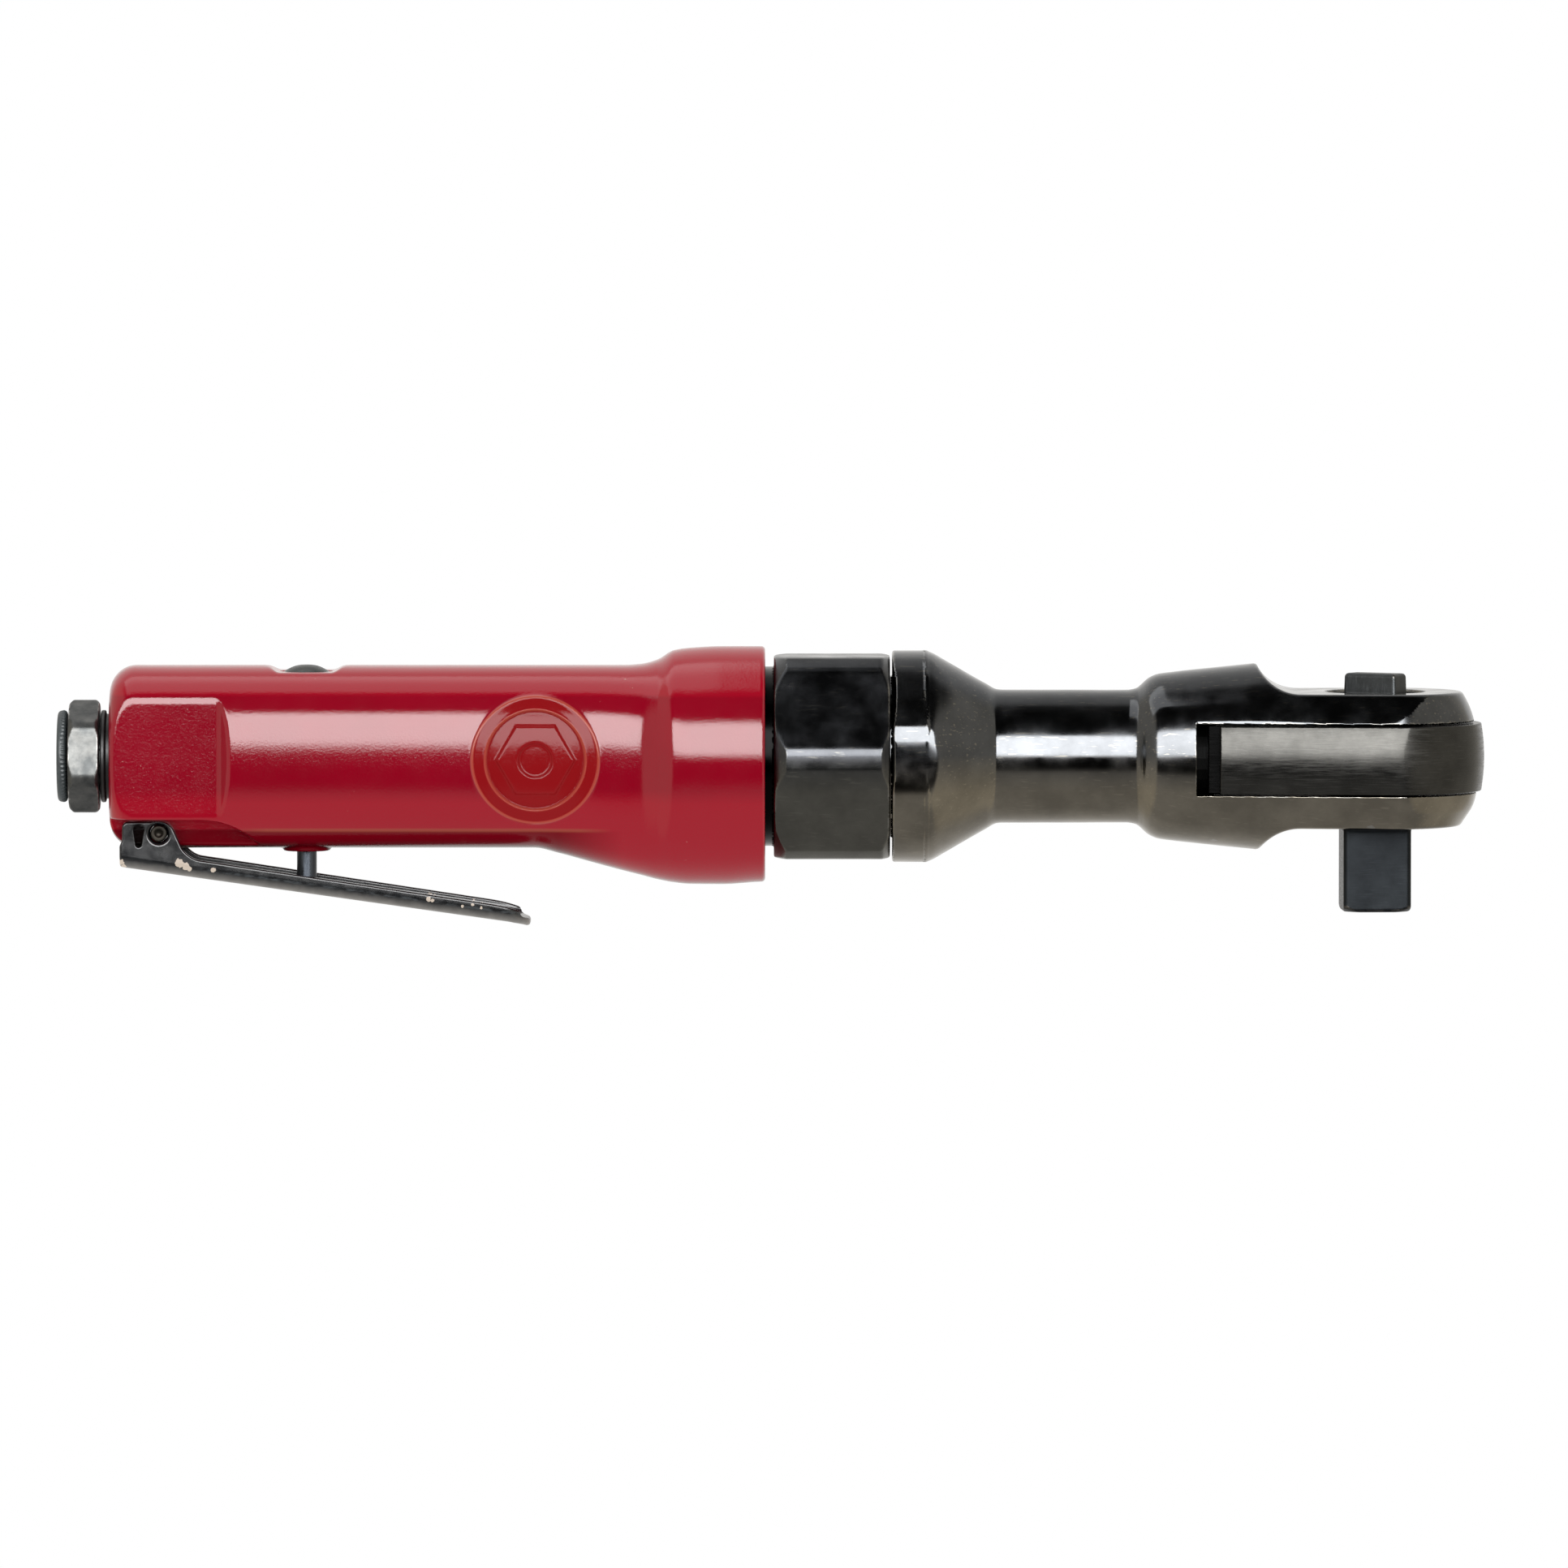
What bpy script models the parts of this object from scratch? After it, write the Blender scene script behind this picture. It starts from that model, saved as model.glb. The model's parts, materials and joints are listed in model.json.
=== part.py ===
"""Half-inch drive air ratchet with a lever throttle, built as an assembly of separate pieces.

Frame: metres, +Z up towards the reversing knob, handle towards -X, drive head at +X.
The origin is the centre of the drive square's end face. Every size below is in millimetres.
Positions along the tool are measured from the drive square's axis, and heights and widths
from the tool axis, which the empty called tool_axis carries.
"""
import bpy
import bmesh
from math import acos, copysign, cos, pi, radians, sin, tan
from mathutils import Matrix, Vector

MM = 0.001

# ---------------------------------------------------------------- driving dimensions
AXIS_HEIGHT = 28.8            # tool axis above the drive square's end

REAR = -235.5                 # motor housing, rear face
FRONT = -113.6                # motor housing, front face
BARREL_WIDTH = 15.4           # half-width of the oval barrel
BARREL_HEIGHT = 17.0          # half-height of the oval barrel
COLLAR = 20.5                 # radius of the round front collar
REAR_ROUND = 4.6              # rounding of the rear edge
WRENCH_FLAT = 12.9            # wrench flats, distance from the middle
TONGUE = 6.6                  # half-thickness of the tongue between the lever ears
MOTOR_BORE = 13.4
THREAD_BORE = 17.0

INLET_HEX = 19.05             # inlet bushing, across flats
INLET_HEX_TURN = 180 - 36.8   # degrees, one corner measured from +Y towards +Z
COUPLING_HEX = 37.6           # coupling, across flats
COUPLING_REAR = -112.0
COUPLING_FRONT = -90.4

LEVER_PIN = (-226.3, -14.0)   # x and height of the lever's pivot
LEVER_SLOPE = radians(8.1)
LEVER_SHEET = 1.5
EAR_OUTSIDE = 8.4
VALVE_X = -199.0              # throttle valve's vertical axis
CAP = 4.5                     # radius of the valve cap
CAP_SEAT = 15.85              # height of the flat that the cap is let into
EAR_CEILING = -11.25          # top of the pocket that a lever ear turns in

ROTOR = 9.6                   # rotor radius
ROTOR_REAR = -172.9
ROTOR_FRONT = -136.5
LINER_SHIFT = -1.3            # liner bore below the rotor axis
VANES = 5

GEAR_MODULE = 0.7
SUN_TEETH = 12
PLANET_TEETH = 12
RING_TEETH = 36
PRESSURE_ANGLE = radians(25)
STUB_ADDENDUM = 0.8           # in modules
DEDENDUM = 1.05               # in modules
BACKLASH = 0.12
PLANETS = 3
PLANET_ORBIT = GEAR_MODULE * (SUN_TEETH + PLANET_TEETH) / 2

CRANK_THROW = 1.7
CRANK_JOURNAL = 8.0
HEAD_TOP = 12.1
HEAD_BOTTOM = -12.9
HEAD_NOSE = 18.9
SLOT_HALF = 6.62              # fork slot, half-height
SLOT_REAR = -33.6
YOKE_HALF = 6.3               # yoke, half-height
YOKE_NOSE = 20.3
YOKE_REAR = -29.2
YOKE_SHOULDER = -31.4         # rear end of the yoke's two shoulders
YOKE_TEETH = 36
YOKE_TIP = 9.3
YOKE_ROOT = 9.98

ANVIL = 9.0
ANVIL_TOP = 10.2
SQUARE = 12.65
SQUARE_TURN = 2.5             # degrees, as the drive stands at rest
SQUARE_EDGE = 1.1             # rounding of the drive square's long edges
SQUARE_TOP = -13.2
PAWL_PIVOT = -6.2
PAWL_TILT = radians(8)        # from neutral to engaged
KNOB_TURN = radians(-30)

STEEL_BLACK = ("black_oxide_steel", (0.020, 0.020, 0.022), 0.32, 1.0)
STEEL_BRIGHT = ("ground_steel", (0.55, 0.54, 0.52), 0.30, 1.0)
STEEL_PLATED = ("plated_steel", (0.42, 0.42, 0.43), 0.35, 1.0)
PAINT_RED = ("red_paint", (0.33, 0.008, 0.020), 0.30, 0.0)
LEVER_BLACK = ("black_lever_paint", (0.012, 0.012, 0.014), 0.35, 0.0)
PLASTIC = ("grey_plastic", (0.045, 0.055, 0.060), 0.50, 0.0)
RUBBER = ("black_rubber", (0.012, 0.012, 0.012), 0.60, 0.0)
BRASS = ("brass", (0.60, 0.42, 0.16), 0.35, 1.0)
BRONZE = ("sintered_bronze", (0.36, 0.22, 0.10), 0.45, 1.0)
CAST_IRON = ("cast_iron", (0.16, 0.16, 0.16), 0.50, 1.0)
PHENOLIC = ("phenolic_vane", (0.16, 0.08, 0.035), 0.60, 0.0)

# local frame of a shape, by the world axis that it runs along
ALONG = {
    "X": Matrix(((0, 0, 1), (1, 0, 0), (0, 1, 0))),
    "Y": Matrix(((1, 0, 0), (0, 0, -1), (0, 1, 0))),
    "Z": Matrix.Identity(3),
}


# ---------------------------------------------------------------- scene and finishes
def clear_scene():
    for obj in list(bpy.data.objects):
        bpy.data.objects.remove(obj, do_unlink=True)


def new_collection(name):
    made = bpy.data.collections.new(name)
    bpy.context.scene.collection.children.link(made)
    return made


clear_scene()
PARTS = new_collection("air_ratchet")
CUTTERS = new_collection("cutters")
TOOL_AXIS = bpy.data.objects.new("tool_axis", None)
TOOL_AXIS.location = (0, 0, AXIS_HEIGHT * MM)
PARTS.objects.link(TOOL_AXIS)


def finish(spec):
    name, colour, roughness, metallic = spec
    found = bpy.data.materials.get(name)
    if found:
        return found
    made = bpy.data.materials.new(name)
    made.use_nodes = True
    shader = made.node_tree.nodes["Principled BSDF"]
    shader.inputs["Base Color"].default_value = (*colour, 1.0)
    shader.inputs["Roughness"].default_value = roughness
    shader.inputs["Metallic"].default_value = metallic
    return made


def place(name, data, spec, at):
    """Put a piece in the assembly, or a cutter beside it when it has no finish."""
    obj = bpy.data.objects.new(name, data)
    obj.parent = TOOL_AXIS
    obj.location = Vector(at) * MM
    if spec is None:
        CUTTERS.objects.link(obj)
        obj.hide_render = True
        obj.display_type = "WIRE"
    else:
        PARTS.objects.link(obj)
        data.materials.append(finish(spec))
    return obj


# ---------------------------------------------------------------- shape makers
def tidy_mesh(mesh, transform=None):
    work = bmesh.new()
    work.from_mesh(mesh)
    bmesh.ops.remove_doubles(work, verts=work.verts, dist=1e-7)
    bmesh.ops.recalc_face_normals(work, faces=work.faces)
    if transform is not None:
        work.transform(transform)
    work.to_mesh(mesh)
    work.free()
    return mesh


def turn_steps(radius):
    if radius > 12:
        return 40
    if radius > 6:
        return 24
    return 18 if radius > 3 else 12


def turned(name, profile, spec=None, axis="X", at=(0, 0, 0), steps=None):
    """Turn a profile of (position along the axis, radius) about the axis through at."""
    area = 0
    for (p0, r0), (p1, r1) in zip(profile, profile[1:] + profile[:1]):
        area += r0 * p1 - r1 * p0
    points = profile if area < 0 else profile[::-1]
    mesh = bpy.data.meshes.new(name)
    edges = [(k, k + 1) for k in range(len(points) - 1)]
    if points[0][1] > 0 or points[-1][1] > 0:
        edges.append((len(points) - 1, 0))
    mesh.from_pydata([(r * MM, 0, p * MM) for p, r in points], edges, [])
    obj = place(name, mesh, spec, at)
    obj.rotation_euler = {"X": (0, pi / 2, 0), "Y": (-pi / 2, 0, 0), "Z": (0, 0, 0)}[axis]
    screw = obj.modifiers.new("turn", "SCREW")
    screw.axis = "Z"
    screw.angle = 2 * pi
    screw.steps = screw.render_steps = steps or turn_steps(max(r for _, r in points))
    screw.use_merge_vertices = True
    screw.merge_threshold = 1e-6
    screw.use_smooth_shade = True
    return obj


def prism(name, outlines, low, high, spec=None, axis="Z", at=(0, 0, 0)):
    """A flat outline, with any holes after it, made thick from low to high along the axis."""
    curve = bpy.data.curves.new(name, "CURVE")
    curve.dimensions = "2D"
    curve.fill_mode = "BOTH"
    curve.extrude = (high - low) / 2 * MM
    for outline in outlines:
        spline = curve.splines.new("POLY")
        spline.points.add(len(outline) - 1)
        for point, (u, v) in zip(spline.points, outline):
            point.co = (u * MM, v * MM, 0, 1)
        spline.use_cyclic_u = True
    guide = bpy.data.objects.new(name, curve)
    bpy.context.scene.collection.objects.link(guide)
    flat = guide.evaluated_get(bpy.context.evaluated_depsgraph_get())
    mesh = bpy.data.meshes.new_from_object(flat)
    bpy.data.objects.remove(guide)
    bpy.data.curves.remove(curve)
    middle = Matrix.Translation((0, 0, (low + high) / 2 * MM))
    tidy_mesh(mesh, ALONG[axis].to_4x4() @ middle)
    return place(name, mesh, spec, at)


def block(name, low, high, spec=None):
    """A box between two corners."""
    mesh = bpy.data.meshes.new(name)
    work = bmesh.new()
    bmesh.ops.create_cube(work, size=1)
    size = Vector(high) - Vector(low)
    middle = (Vector(high) + Vector(low)) / 2
    for vert in work.verts:
        vert.co = Vector([c * s for c, s in zip(vert.co, size)]) * MM
    work.to_mesh(mesh)
    work.free()
    return place(name, mesh, spec, middle)


def ball(name, radius, at, spec=None, segments=12, rings=6):
    mesh = bpy.data.meshes.new(name)
    work = bmesh.new()
    bmesh.ops.create_uvsphere(work, u_segments=segments, v_segments=rings, radius=radius * MM)
    work.to_mesh(mesh)
    work.free()
    mesh.shade_smooth()
    return place(name, mesh, spec, at)


def torus(name, major, minor, spec, axis, at):
    """An O-ring: a small circle turned about the axis."""
    sides = 6
    profile = []
    for k in range(sides):
        angle = 2 * pi * k / sides
        profile.append((minor * sin(angle), major + minor * cos(angle)))
    return turned(name, profile, spec, axis, at)


def coil_spring(name, radius, wire, length, turns, spec, axis, at):
    """A compression spring of round wire that starts at the point called at."""
    curve = bpy.data.curves.new(name, "CURVE")
    curve.dimensions = "3D"
    curve.bevel_depth = wire / 2 * MM
    curve.bevel_resolution = 2
    curve.use_fill_caps = True
    per_turn = 8
    count = turns * per_turn + 1
    spline = curve.splines.new("POLY")
    spline.points.add(count - 1)
    for k, point in enumerate(spline.points):
        angle = 2 * pi * k / per_turn
        along = length * k / (count - 1)
        spot = ALONG[axis] @ Vector((radius * cos(angle), radius * sin(angle), along)) * MM
        point.co = (*spot, 1)
    return place(name, curve, spec, at)


def combine(obj, other, operation):
    boolean = obj.modifiers.new(operation.lower(), "BOOLEAN")
    boolean.operation = operation
    boolean.solver = "EXACT"
    boolean.object = other


def cut(obj, *cutters):
    for cutter in cutters:
        combine(obj, cutter, "DIFFERENCE")


def join(obj, *others):
    for other in others:
        combine(obj, other, "UNION")


def keep_inside(obj, other):
    combine(obj, other, "INTERSECT")


def arc(centre, radius, start, end, count):
    """Points on an arc, from the start angle to the end angle in degrees."""
    points = []
    for k in range(count + 1):
        angle = radians(start + (end - start) * k / count)
        points.append((centre[0] + radius * cos(angle), centre[1] + radius * sin(angle)))
    return points


def circle(centre, radius, count=16):
    return arc(centre, radius, 0, 360 - 360 / count, count - 1)


def hexagon(across_flats, turn_degrees=0):
    corner = across_flats / 2 / cos(pi / 6)
    return arc((0, 0), corner, turn_degrees, turn_degrees + 300, 5)


def cylinder_profile(low, high, radius):
    return [(low, 0), (low, radius), (high, radius), (high, 0)]


def ring_profile(low, high, inner, outer):
    return [(low, inner), (low, outer), (high, outer), (high, inner)]


# ---------------------------------------------------------------- motor housing
def oval(half_width, top, bottom, power, count=40):
    points = []
    for k in range(count):
        angle = 2 * pi * k / count
        c, s = cos(angle), sin(angle)
        y = copysign(abs(c) ** (2 / power), c) * half_width
        z = copysign(abs(s) ** (2 / power), s) * (top if s > 0 else bottom)
        points.append((y, z))
    return points


def housing_sections():
    """Rear edge as an arc, a straight oval barrel, then the swell to the round collar."""
    sections = []
    for k in range(5):
        angle = pi / 2 * k / 5
        inset = REAR_ROUND * (1 - sin(angle))
        x = REAR + (REAR_ROUND + 0.6) * (1 - cos(angle))
        width, height = BARREL_WIDTH - inset, BARREL_HEIGHT - inset
        sections.append((x, width, height, height, 2.5))
    rear_end = REAR + REAR_ROUND + 0.6
    sections += [
        (rear_end, BARREL_WIDTH, BARREL_HEIGHT, BARREL_HEIGHT, 2.5),
        (-157.0, BARREL_WIDTH, BARREL_HEIGHT, BARREL_HEIGHT, 2.5),
        (-152.0, BARREL_WIDTH, BARREL_HEIGHT, 18.0, 2.5),
        (-145.8, 15.5, BARREL_HEIGHT, 19.7, 2.5),
        (-139.7, 15.9, BARREL_HEIGHT, 21.35, 2.45),
        (-136.7, 16.5, 17.2, 22.1, 2.4),
        (-133.7, 17.9, 18.0, 22.9, 2.25),
        (-130.6, 19.8, 19.9, 23.5, 2.1),
        (-127.6, 20.3, 20.2, 23.8, 2.0),
        (-121.6, COLLAR, COLLAR, 23.85, 2.0),
        (FRONT - 1.0, COLLAR, COLLAR, 23.5, 2.0),
        (FRONT, COLLAR - 0.6, COLLAR - 0.6, 22.9, 2.0),
    ]
    return sections


def loft(name, sections, spec):
    mesh = bpy.data.meshes.new(name)
    work = bmesh.new()
    rings = []
    for x, width, top, bottom, power in sections:
        points = oval(width, top, bottom, power)
        rings.append([work.verts.new((x * MM, y * MM, z * MM)) for y, z in points])
    count = len(rings[0])
    for low, high in zip(rings, rings[1:]):
        for k in range(count):
            n = (k + 1) % count
            work.faces.new((low[k], low[n], high[n], high[k]))
    work.faces.new(rings[0][::-1])
    work.faces.new(rings[-1])
    bmesh.ops.recalc_face_normals(work, faces=work.faces)
    work.to_mesh(mesh)
    work.free()
    mesh.shade_smooth()
    mesh.set_sharp_from_angle(angle=radians(35))
    return place(name, mesh, spec, (0, 0, 0))


def ear_recess_outline():
    """Side view of the pocket that a lever ear turns in, with its rounded run-out."""
    radius = 14.0
    run_out = arc((-218.5, EAR_CEILING - radius), radius, 90, 30, 7)
    return [(-245, EAR_CEILING), (-245, -30), (run_out[-1][0], -30)] + run_out[::-1]


def flat_cutter_outline(side):
    """Plan view of one wrench flat, with the sloped wall at its front end."""
    inner = WRENCH_FLAT * side
    outer = 30 * side
    return [(-245, inner), (-215.0, inner), (-211.0, 18.0 * side), (-211.0, outer), (-245, outer)]


def motor_housing():
    body = loft("motor_housing", housing_sections(), PAINT_RED)
    boss = turned("boss_shape", cylinder_profile(-17.6, -14.0, 4.4), None, "Z", (VALVE_X, 0, 0))
    join(body, boss)
    along = [
        (REAR - 2, 0), (REAR - 2, 9.4), (-232.5, 9.4), (-232.5, 6.6), (-222.0, 6.6),
        (-222.0, 3.8), (VALVE_X, 3.8), (VALVE_X, 0),
    ]
    motor = [
        (-178.6, 0), (-178.6, MOTOR_BORE), (-130.6, MOTOR_BORE), (-130.6, THREAD_BORE),
        (FRONT + 2, THREAD_BORE), (FRONT + 2, 0),
    ]
    valve = [
        (-20, 0), (-20, 3.2), (-6.0, 3.2), (-6.0, 4.3), (8.0, 4.3), (8.0, CAP + 0.25),
        (20, CAP + 0.25), (20, 0),
    ]
    saddle = [
        (VALVE_X - 7.6, BARREL_HEIGHT + 0.1), (VALVE_X - 4.8, CAP_SEAT), (VALVE_X + 4.8, CAP_SEAT),
        (VALVE_X + 7.6, BARREL_HEIGHT + 0.1), (VALVE_X + 7.6, 20), (VALVE_X - 7.6, 20),
    ]
    cut(
        body,
        prism("cap_saddle", [saddle], -9, 9, None, "Y"),
        turned("inlet_bore", along),
        turned("motor_bore", motor),
        turned("valve_bore", valve, None, "Z", (VALVE_X, 0, 0)),
        turned("air_way", cylinder_profile(VALVE_X, -177, 2.6), None, "X", (0, 0, -9.0)),
    )
    for side in (-1, 1):
        way = (0, side * 7.4, 4.4)
        exhaust = turned(f"exhaust_way_{side}", cylinder_profile(-234, -177, 1.5), None, "X", way)
        flat = prism(f"wrench_flat_{side}", [flat_cutter_outline(side)], -30, 30)
        edges = sorted((TONGUE * side, 30 * side))
        recess = prism(f"ear_recess_{side}", [ear_recess_outline()], -edges[1], -edges[0], None, "Y")
        cut(body, exhaust, flat, recess)
    x, z = LEVER_PIN
    hole = turned("pin_hole", cylinder_profile(-30, 30, 1.65), None, "Y", (x, 0, z))
    cut(body, hole)


# ---------------------------------------------------------------- air inlet
def air_inlet():
    outer = [
        (-243.2, 4.5), (-243.2, 9.7), (-242.4, 10.5), (-238.1, 10.5), (-237.5, 9.9),
        (-237.5, 6.3), (-222.5, 6.3), (-222.5, 4.5),
    ]
    bushing = turned("inlet_bushing", outer, STEEL_PLATED)
    keep_inside(bushing, prism("inlet_hex", [hexagon(INLET_HEX, INLET_HEX_TURN)], -245, -221, None, "X"))

    plug = [
        (-245.3, 0), (-245.3, 7.2), (-244.9, 8.2), (-244.3, 8.55), (-243.5, 8.55),
        (-243.5, 4.2), (-233.0, 4.2), (-232.0, 3.6), (-232.0, 2.8), (-243.0, 2.8), (-243.0, 0),
    ]
    turned("inlet_plug", plug, PLASTIC)

    deflector = [
        (-237.2, 6.6), (-237.2, 8.6), (-236.3, 8.6), (-236.3, 7.9), (-232.9, 7.9), (-232.9, 6.6),
    ]
    turned("exhaust_deflector", deflector, RUBBER)

    screen = [
        (-224.6, 0), (-224.9, 2.6), (-225.6, 3.8), (-230.5, 3.8), (-230.5, 4.2),
        (-225.2, 4.2), (-224.4, 2.8), (-224.1, 0),
    ]
    turned("inlet_screen", screen, BRASS)


# ---------------------------------------------------------------- throttle
def lever_bottom(x):
    """Height of the lever's underside."""
    return -20.75 - (x + 230.4) * tan(LEVER_SLOPE)


def lever_side_outline():
    """Ears at the rear, a channel edge along the arm and a nose that curls down."""
    top = [(-233.0, -12.6), (-232.2, -11.8), (-225.6, -11.8), (-224.5, -12.4), (-221.8, -18.5)]
    edge = [(-163.5, -27.3), (-159.2, -28.3), (-157.6, -29.6), (-157.3, -30.6)]
    heel_x = -230.8
    bottom = [(-157.9, -31.4), (-158.9, -31.5), (heel_x, lever_bottom(heel_x))]
    heel = [(-232.8, -20.0), (-233.7, -18.6)]
    return top + edge + bottom + heel


def lever_channel_outline():
    """The hollow between the two flanges, open at the top."""
    front, rear = -161.0, -236.0
    lift = LEVER_SHEET / cos(LEVER_SLOPE)
    floor = [(front, lever_bottom(front) + lift), (rear, lever_bottom(rear) + lift)]
    return floor + [(rear, -5.0), (front, -5.0)]


def throttle_lever():
    px, pz = LEVER_PIN
    outline = [(x - px, z - pz) for x, z in lever_side_outline()]
    lever = prism("throttle_lever", [outline], -EAR_OUTSIDE, EAR_OUTSIDE, LEVER_BLACK, "Y", (px, 0, pz))
    work = bmesh.new()
    work.from_mesh(lever.data)
    for vert in work.verts:
        along = max(0, (vert.co.x / MM + px + 221.8) / 64.5)
        vert.co.y *= 1 - 0.11 * along
    bottom_edges = []
    for edge in work.edges:
        flat = all(abs(v.co.y) > 7 * MM and v.co.z / MM + pz < lever_bottom(v.co.x / MM + px) + 0.9
                   for v in edge.verts)
        if flat and edge.verts[0].co.y * edge.verts[1].co.y > 0 and edge.calc_face_angle(0) > 1:
            bottom_edges.append(edge)
    bmesh.ops.bevel(work, geom=bottom_edges, offset=1.8 * MM, segments=3, profile=0.5,
                    affect="EDGES", clamp_overlap=True)
    bmesh.ops.recalc_face_normals(work, faces=work.faces)
    work.to_mesh(lever.data)
    work.free()
    inside = EAR_OUTSIDE - LEVER_SHEET
    channel = prism("lever_channel", [lever_channel_outline()], -inside, inside, None, "Y")
    for vert in channel.data.vertices:
        if vert.co.x > -200 * MM:
            vert.co.y *= 0.875
    slot = arc((-230.0, -13.2), 1.0, 0, 180, 6) + arc((-230.0, -15.6), 0.9, 180, 360, 6)
    cut(
        lever,
        channel,
        turned("lever_pin_hole", cylinder_profile(-12, 12, 1.75), None, "Y", (px, 0, pz)),
        prism("lever_slot", [slot], -12, 12, None, "Y"),
    )
    turned("lever_pin", cylinder_profile(-8.3, 8.3, 1.55), STEEL_BRIGHT, "Y", (px, 0, pz))


def throttle_valve():
    at = (VALVE_X, 0, 0)
    stem = [(-23.4, 0), (-23.4, 1.4), (-22.9, 1.85), (-11.0, 1.85), (-11.0, 1.2), (-4.2, 1.2), (-4.2, 0)]
    turned("valve_stem", stem, STEEL_PLATED, "Z", at)
    valve = [(-3.9, 0), (-3.9, 3.4), (-2.6, 3.4), (-1.9, 2.9), (-1.9, 1.5), (1.5, 1.5), (1.5, 0)]
    turned("throttle_valve", valve, BRASS, "Z", at)
    coil_spring("valve_spring", 2.4, 0.6, 9.4, 4, STEEL_BRIGHT, "Z", (VALVE_X, 0, -1.2))
    turned("valve_seat", ring_profile(-5.7, -4.2, 1.9, 4.0), BRASS, "Z", at)
    turned("stem_bushing", ring_profile(-17.3, -12.3, 2.1, 2.9), BRASS, "Z", at)
    torus("stem_oring", 2.5, 0.42, RUBBER, "Z", (VALVE_X, 0, -11.6))
    cap = [
        (8.8, 0), (8.8, CAP), (10.0, CAP), (10.0, CAP - 0.9), (11.4, CAP - 0.9), (11.4, CAP),
        (CAP_SEAT, CAP), (16.6, CAP - 1.0), (17.05, CAP - 2.5), (17.2, 0),
    ]
    made = turned("valve_cap", cap, LEVER_BLACK, "Z", at)
    cut(made, block("cap_slot", (VALVE_X - 3.0, -0.5, 16.4), (VALVE_X + 3.0, 0.5, 18)))
    torus("valve_cap_oring", CAP - 0.25, 0.32, RUBBER, "Z", (VALVE_X, 0, 10.7))


# ---------------------------------------------------------------- vane motor
def ball_bearing(name, centre_x, width, shaft, inner, outer, outside, balls):
    """Two races and a cage that carries the balls between them."""
    low, high = centre_x - width / 2, centre_x + width / 2
    turned(f"{name}_inner_race", ring_profile(low, high, shaft, inner), STEEL_BRIGHT)
    turned(f"{name}_outer_race", ring_profile(low, high, outer, outside), STEEL_BRIGHT)
    orbit = (inner + outer) / 2
    size = (outer - inner) / 2 - 0.15
    cage = turned(
        f"{name}_ball_cage", ring_profile(-0.4, 0.4, orbit - 0.5, orbit + 0.5), BRASS, "X",
        (centre_x, 0, 0), 21)
    for k in range(balls):
        angle = 2 * pi * k / balls
        spot = (centre_x, orbit * cos(angle), orbit * sin(angle))
        join(cage, ball(f"{name}_ball_{k}", size, spot, segments=6, rings=4))


def end_plates():
    rear = [
        (-178.2, 7.6), (-178.2, 13.1), (-173.5, 13.1), (-173.5, 3.6), (-174.6, 3.6), (-174.6, 7.6),
    ]
    front = [
        (-135.9, 5.4), (-135.9, 13.1), (-130.3, 13.1), (-130.3, 16.6), (-128.3, 16.6),
        (-128.3, 9.6), (-132.6, 9.6), (-132.6, 5.4),
    ]
    rear_plate = turned("rear_end_plate", rear, CAST_IRON, steps=32)
    front_plate = turned("front_end_plate", front, CAST_IRON, steps=32)
    liner = turned("cylinder_liner", cylinder_profile(-173.2, -136.2, 13.1), STEEL_BRIGHT, steps=36)
    bore = turned("liner_bore", cylinder_profile(-175, -134, 11.0), None, "X", (0, 0, LINER_SHIFT), 36)
    dowel_hole = turned("dowel_hole", cylinder_profile(-177.6, -131.2, 1.1), None, "X", (0, 0, 11.6))
    cut(liner, bore, dowel_hole)
    for k, x in enumerate((-166.0, -154.5, -143.0)):
        cut(liner, block(f"exhaust_port_{k}", (x - 1.5, 6, -2), (x + 1.5, 16, 3)))
    inlet_port = turned("inlet_port", cylinder_profile(-180, -172, 1.4), None, "X", (0, 0, -10.6))
    cut(rear_plate, dowel_hole, inlet_port)
    for side in (-1, 1):
        where = (0, side * 8.6, 5.5)
        cut(rear_plate, turned(f"plate_exhaust_{side}", cylinder_profile(-180, -172, 1.4), None, "X", where))
    cut(front_plate, dowel_hole)
    turned("cylinder_dowel", cylinder_profile(-177.3, -131.5, 0.8), STEEL_BRIGHT, "X", (0, 0, 11.6))
    ball_bearing("rear_bearing", -176.4, 3.0, 3.15, 4.2, 6.2, 7.3, 5)
    ball_bearing("front_bearing", -130.5, 3.4, 4.95, 6.1, 8.2, 9.3, 6)


def involute(angle):
    return tan(angle) - angle


def gear_outline(teeth, low, high, play, phase):
    """Outline of a spur gear between two radii; for a ring gear the teeth are its spaces."""
    pitch = GEAR_MODULE * teeth / 2
    base = pitch * cos(PRESSURE_ANGLE)
    middle = pi / (2 * teeth) + play / (2 * pitch)
    radii = [max(low, base) + (high - max(low, base)) * k / 2 for k in range(3)]
    flank = []
    if low < base:
        flank.append((low, middle + involute(PRESSURE_ANGLE)))
    for radius in radii:
        flank.append((radius, middle + involute(PRESSURE_ANGLE) - involute(acos(base / radius))))
    points = []
    for k in range(teeth):
        centre = phase + 2 * pi * k / teeth
        for radius, half in flank:
            points.append((radius * cos(centre - half), radius * sin(centre - half)))
        for radius, half in reversed(flank):
            points.append((radius * cos(centre + half), radius * sin(centre + half)))
    return points


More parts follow.
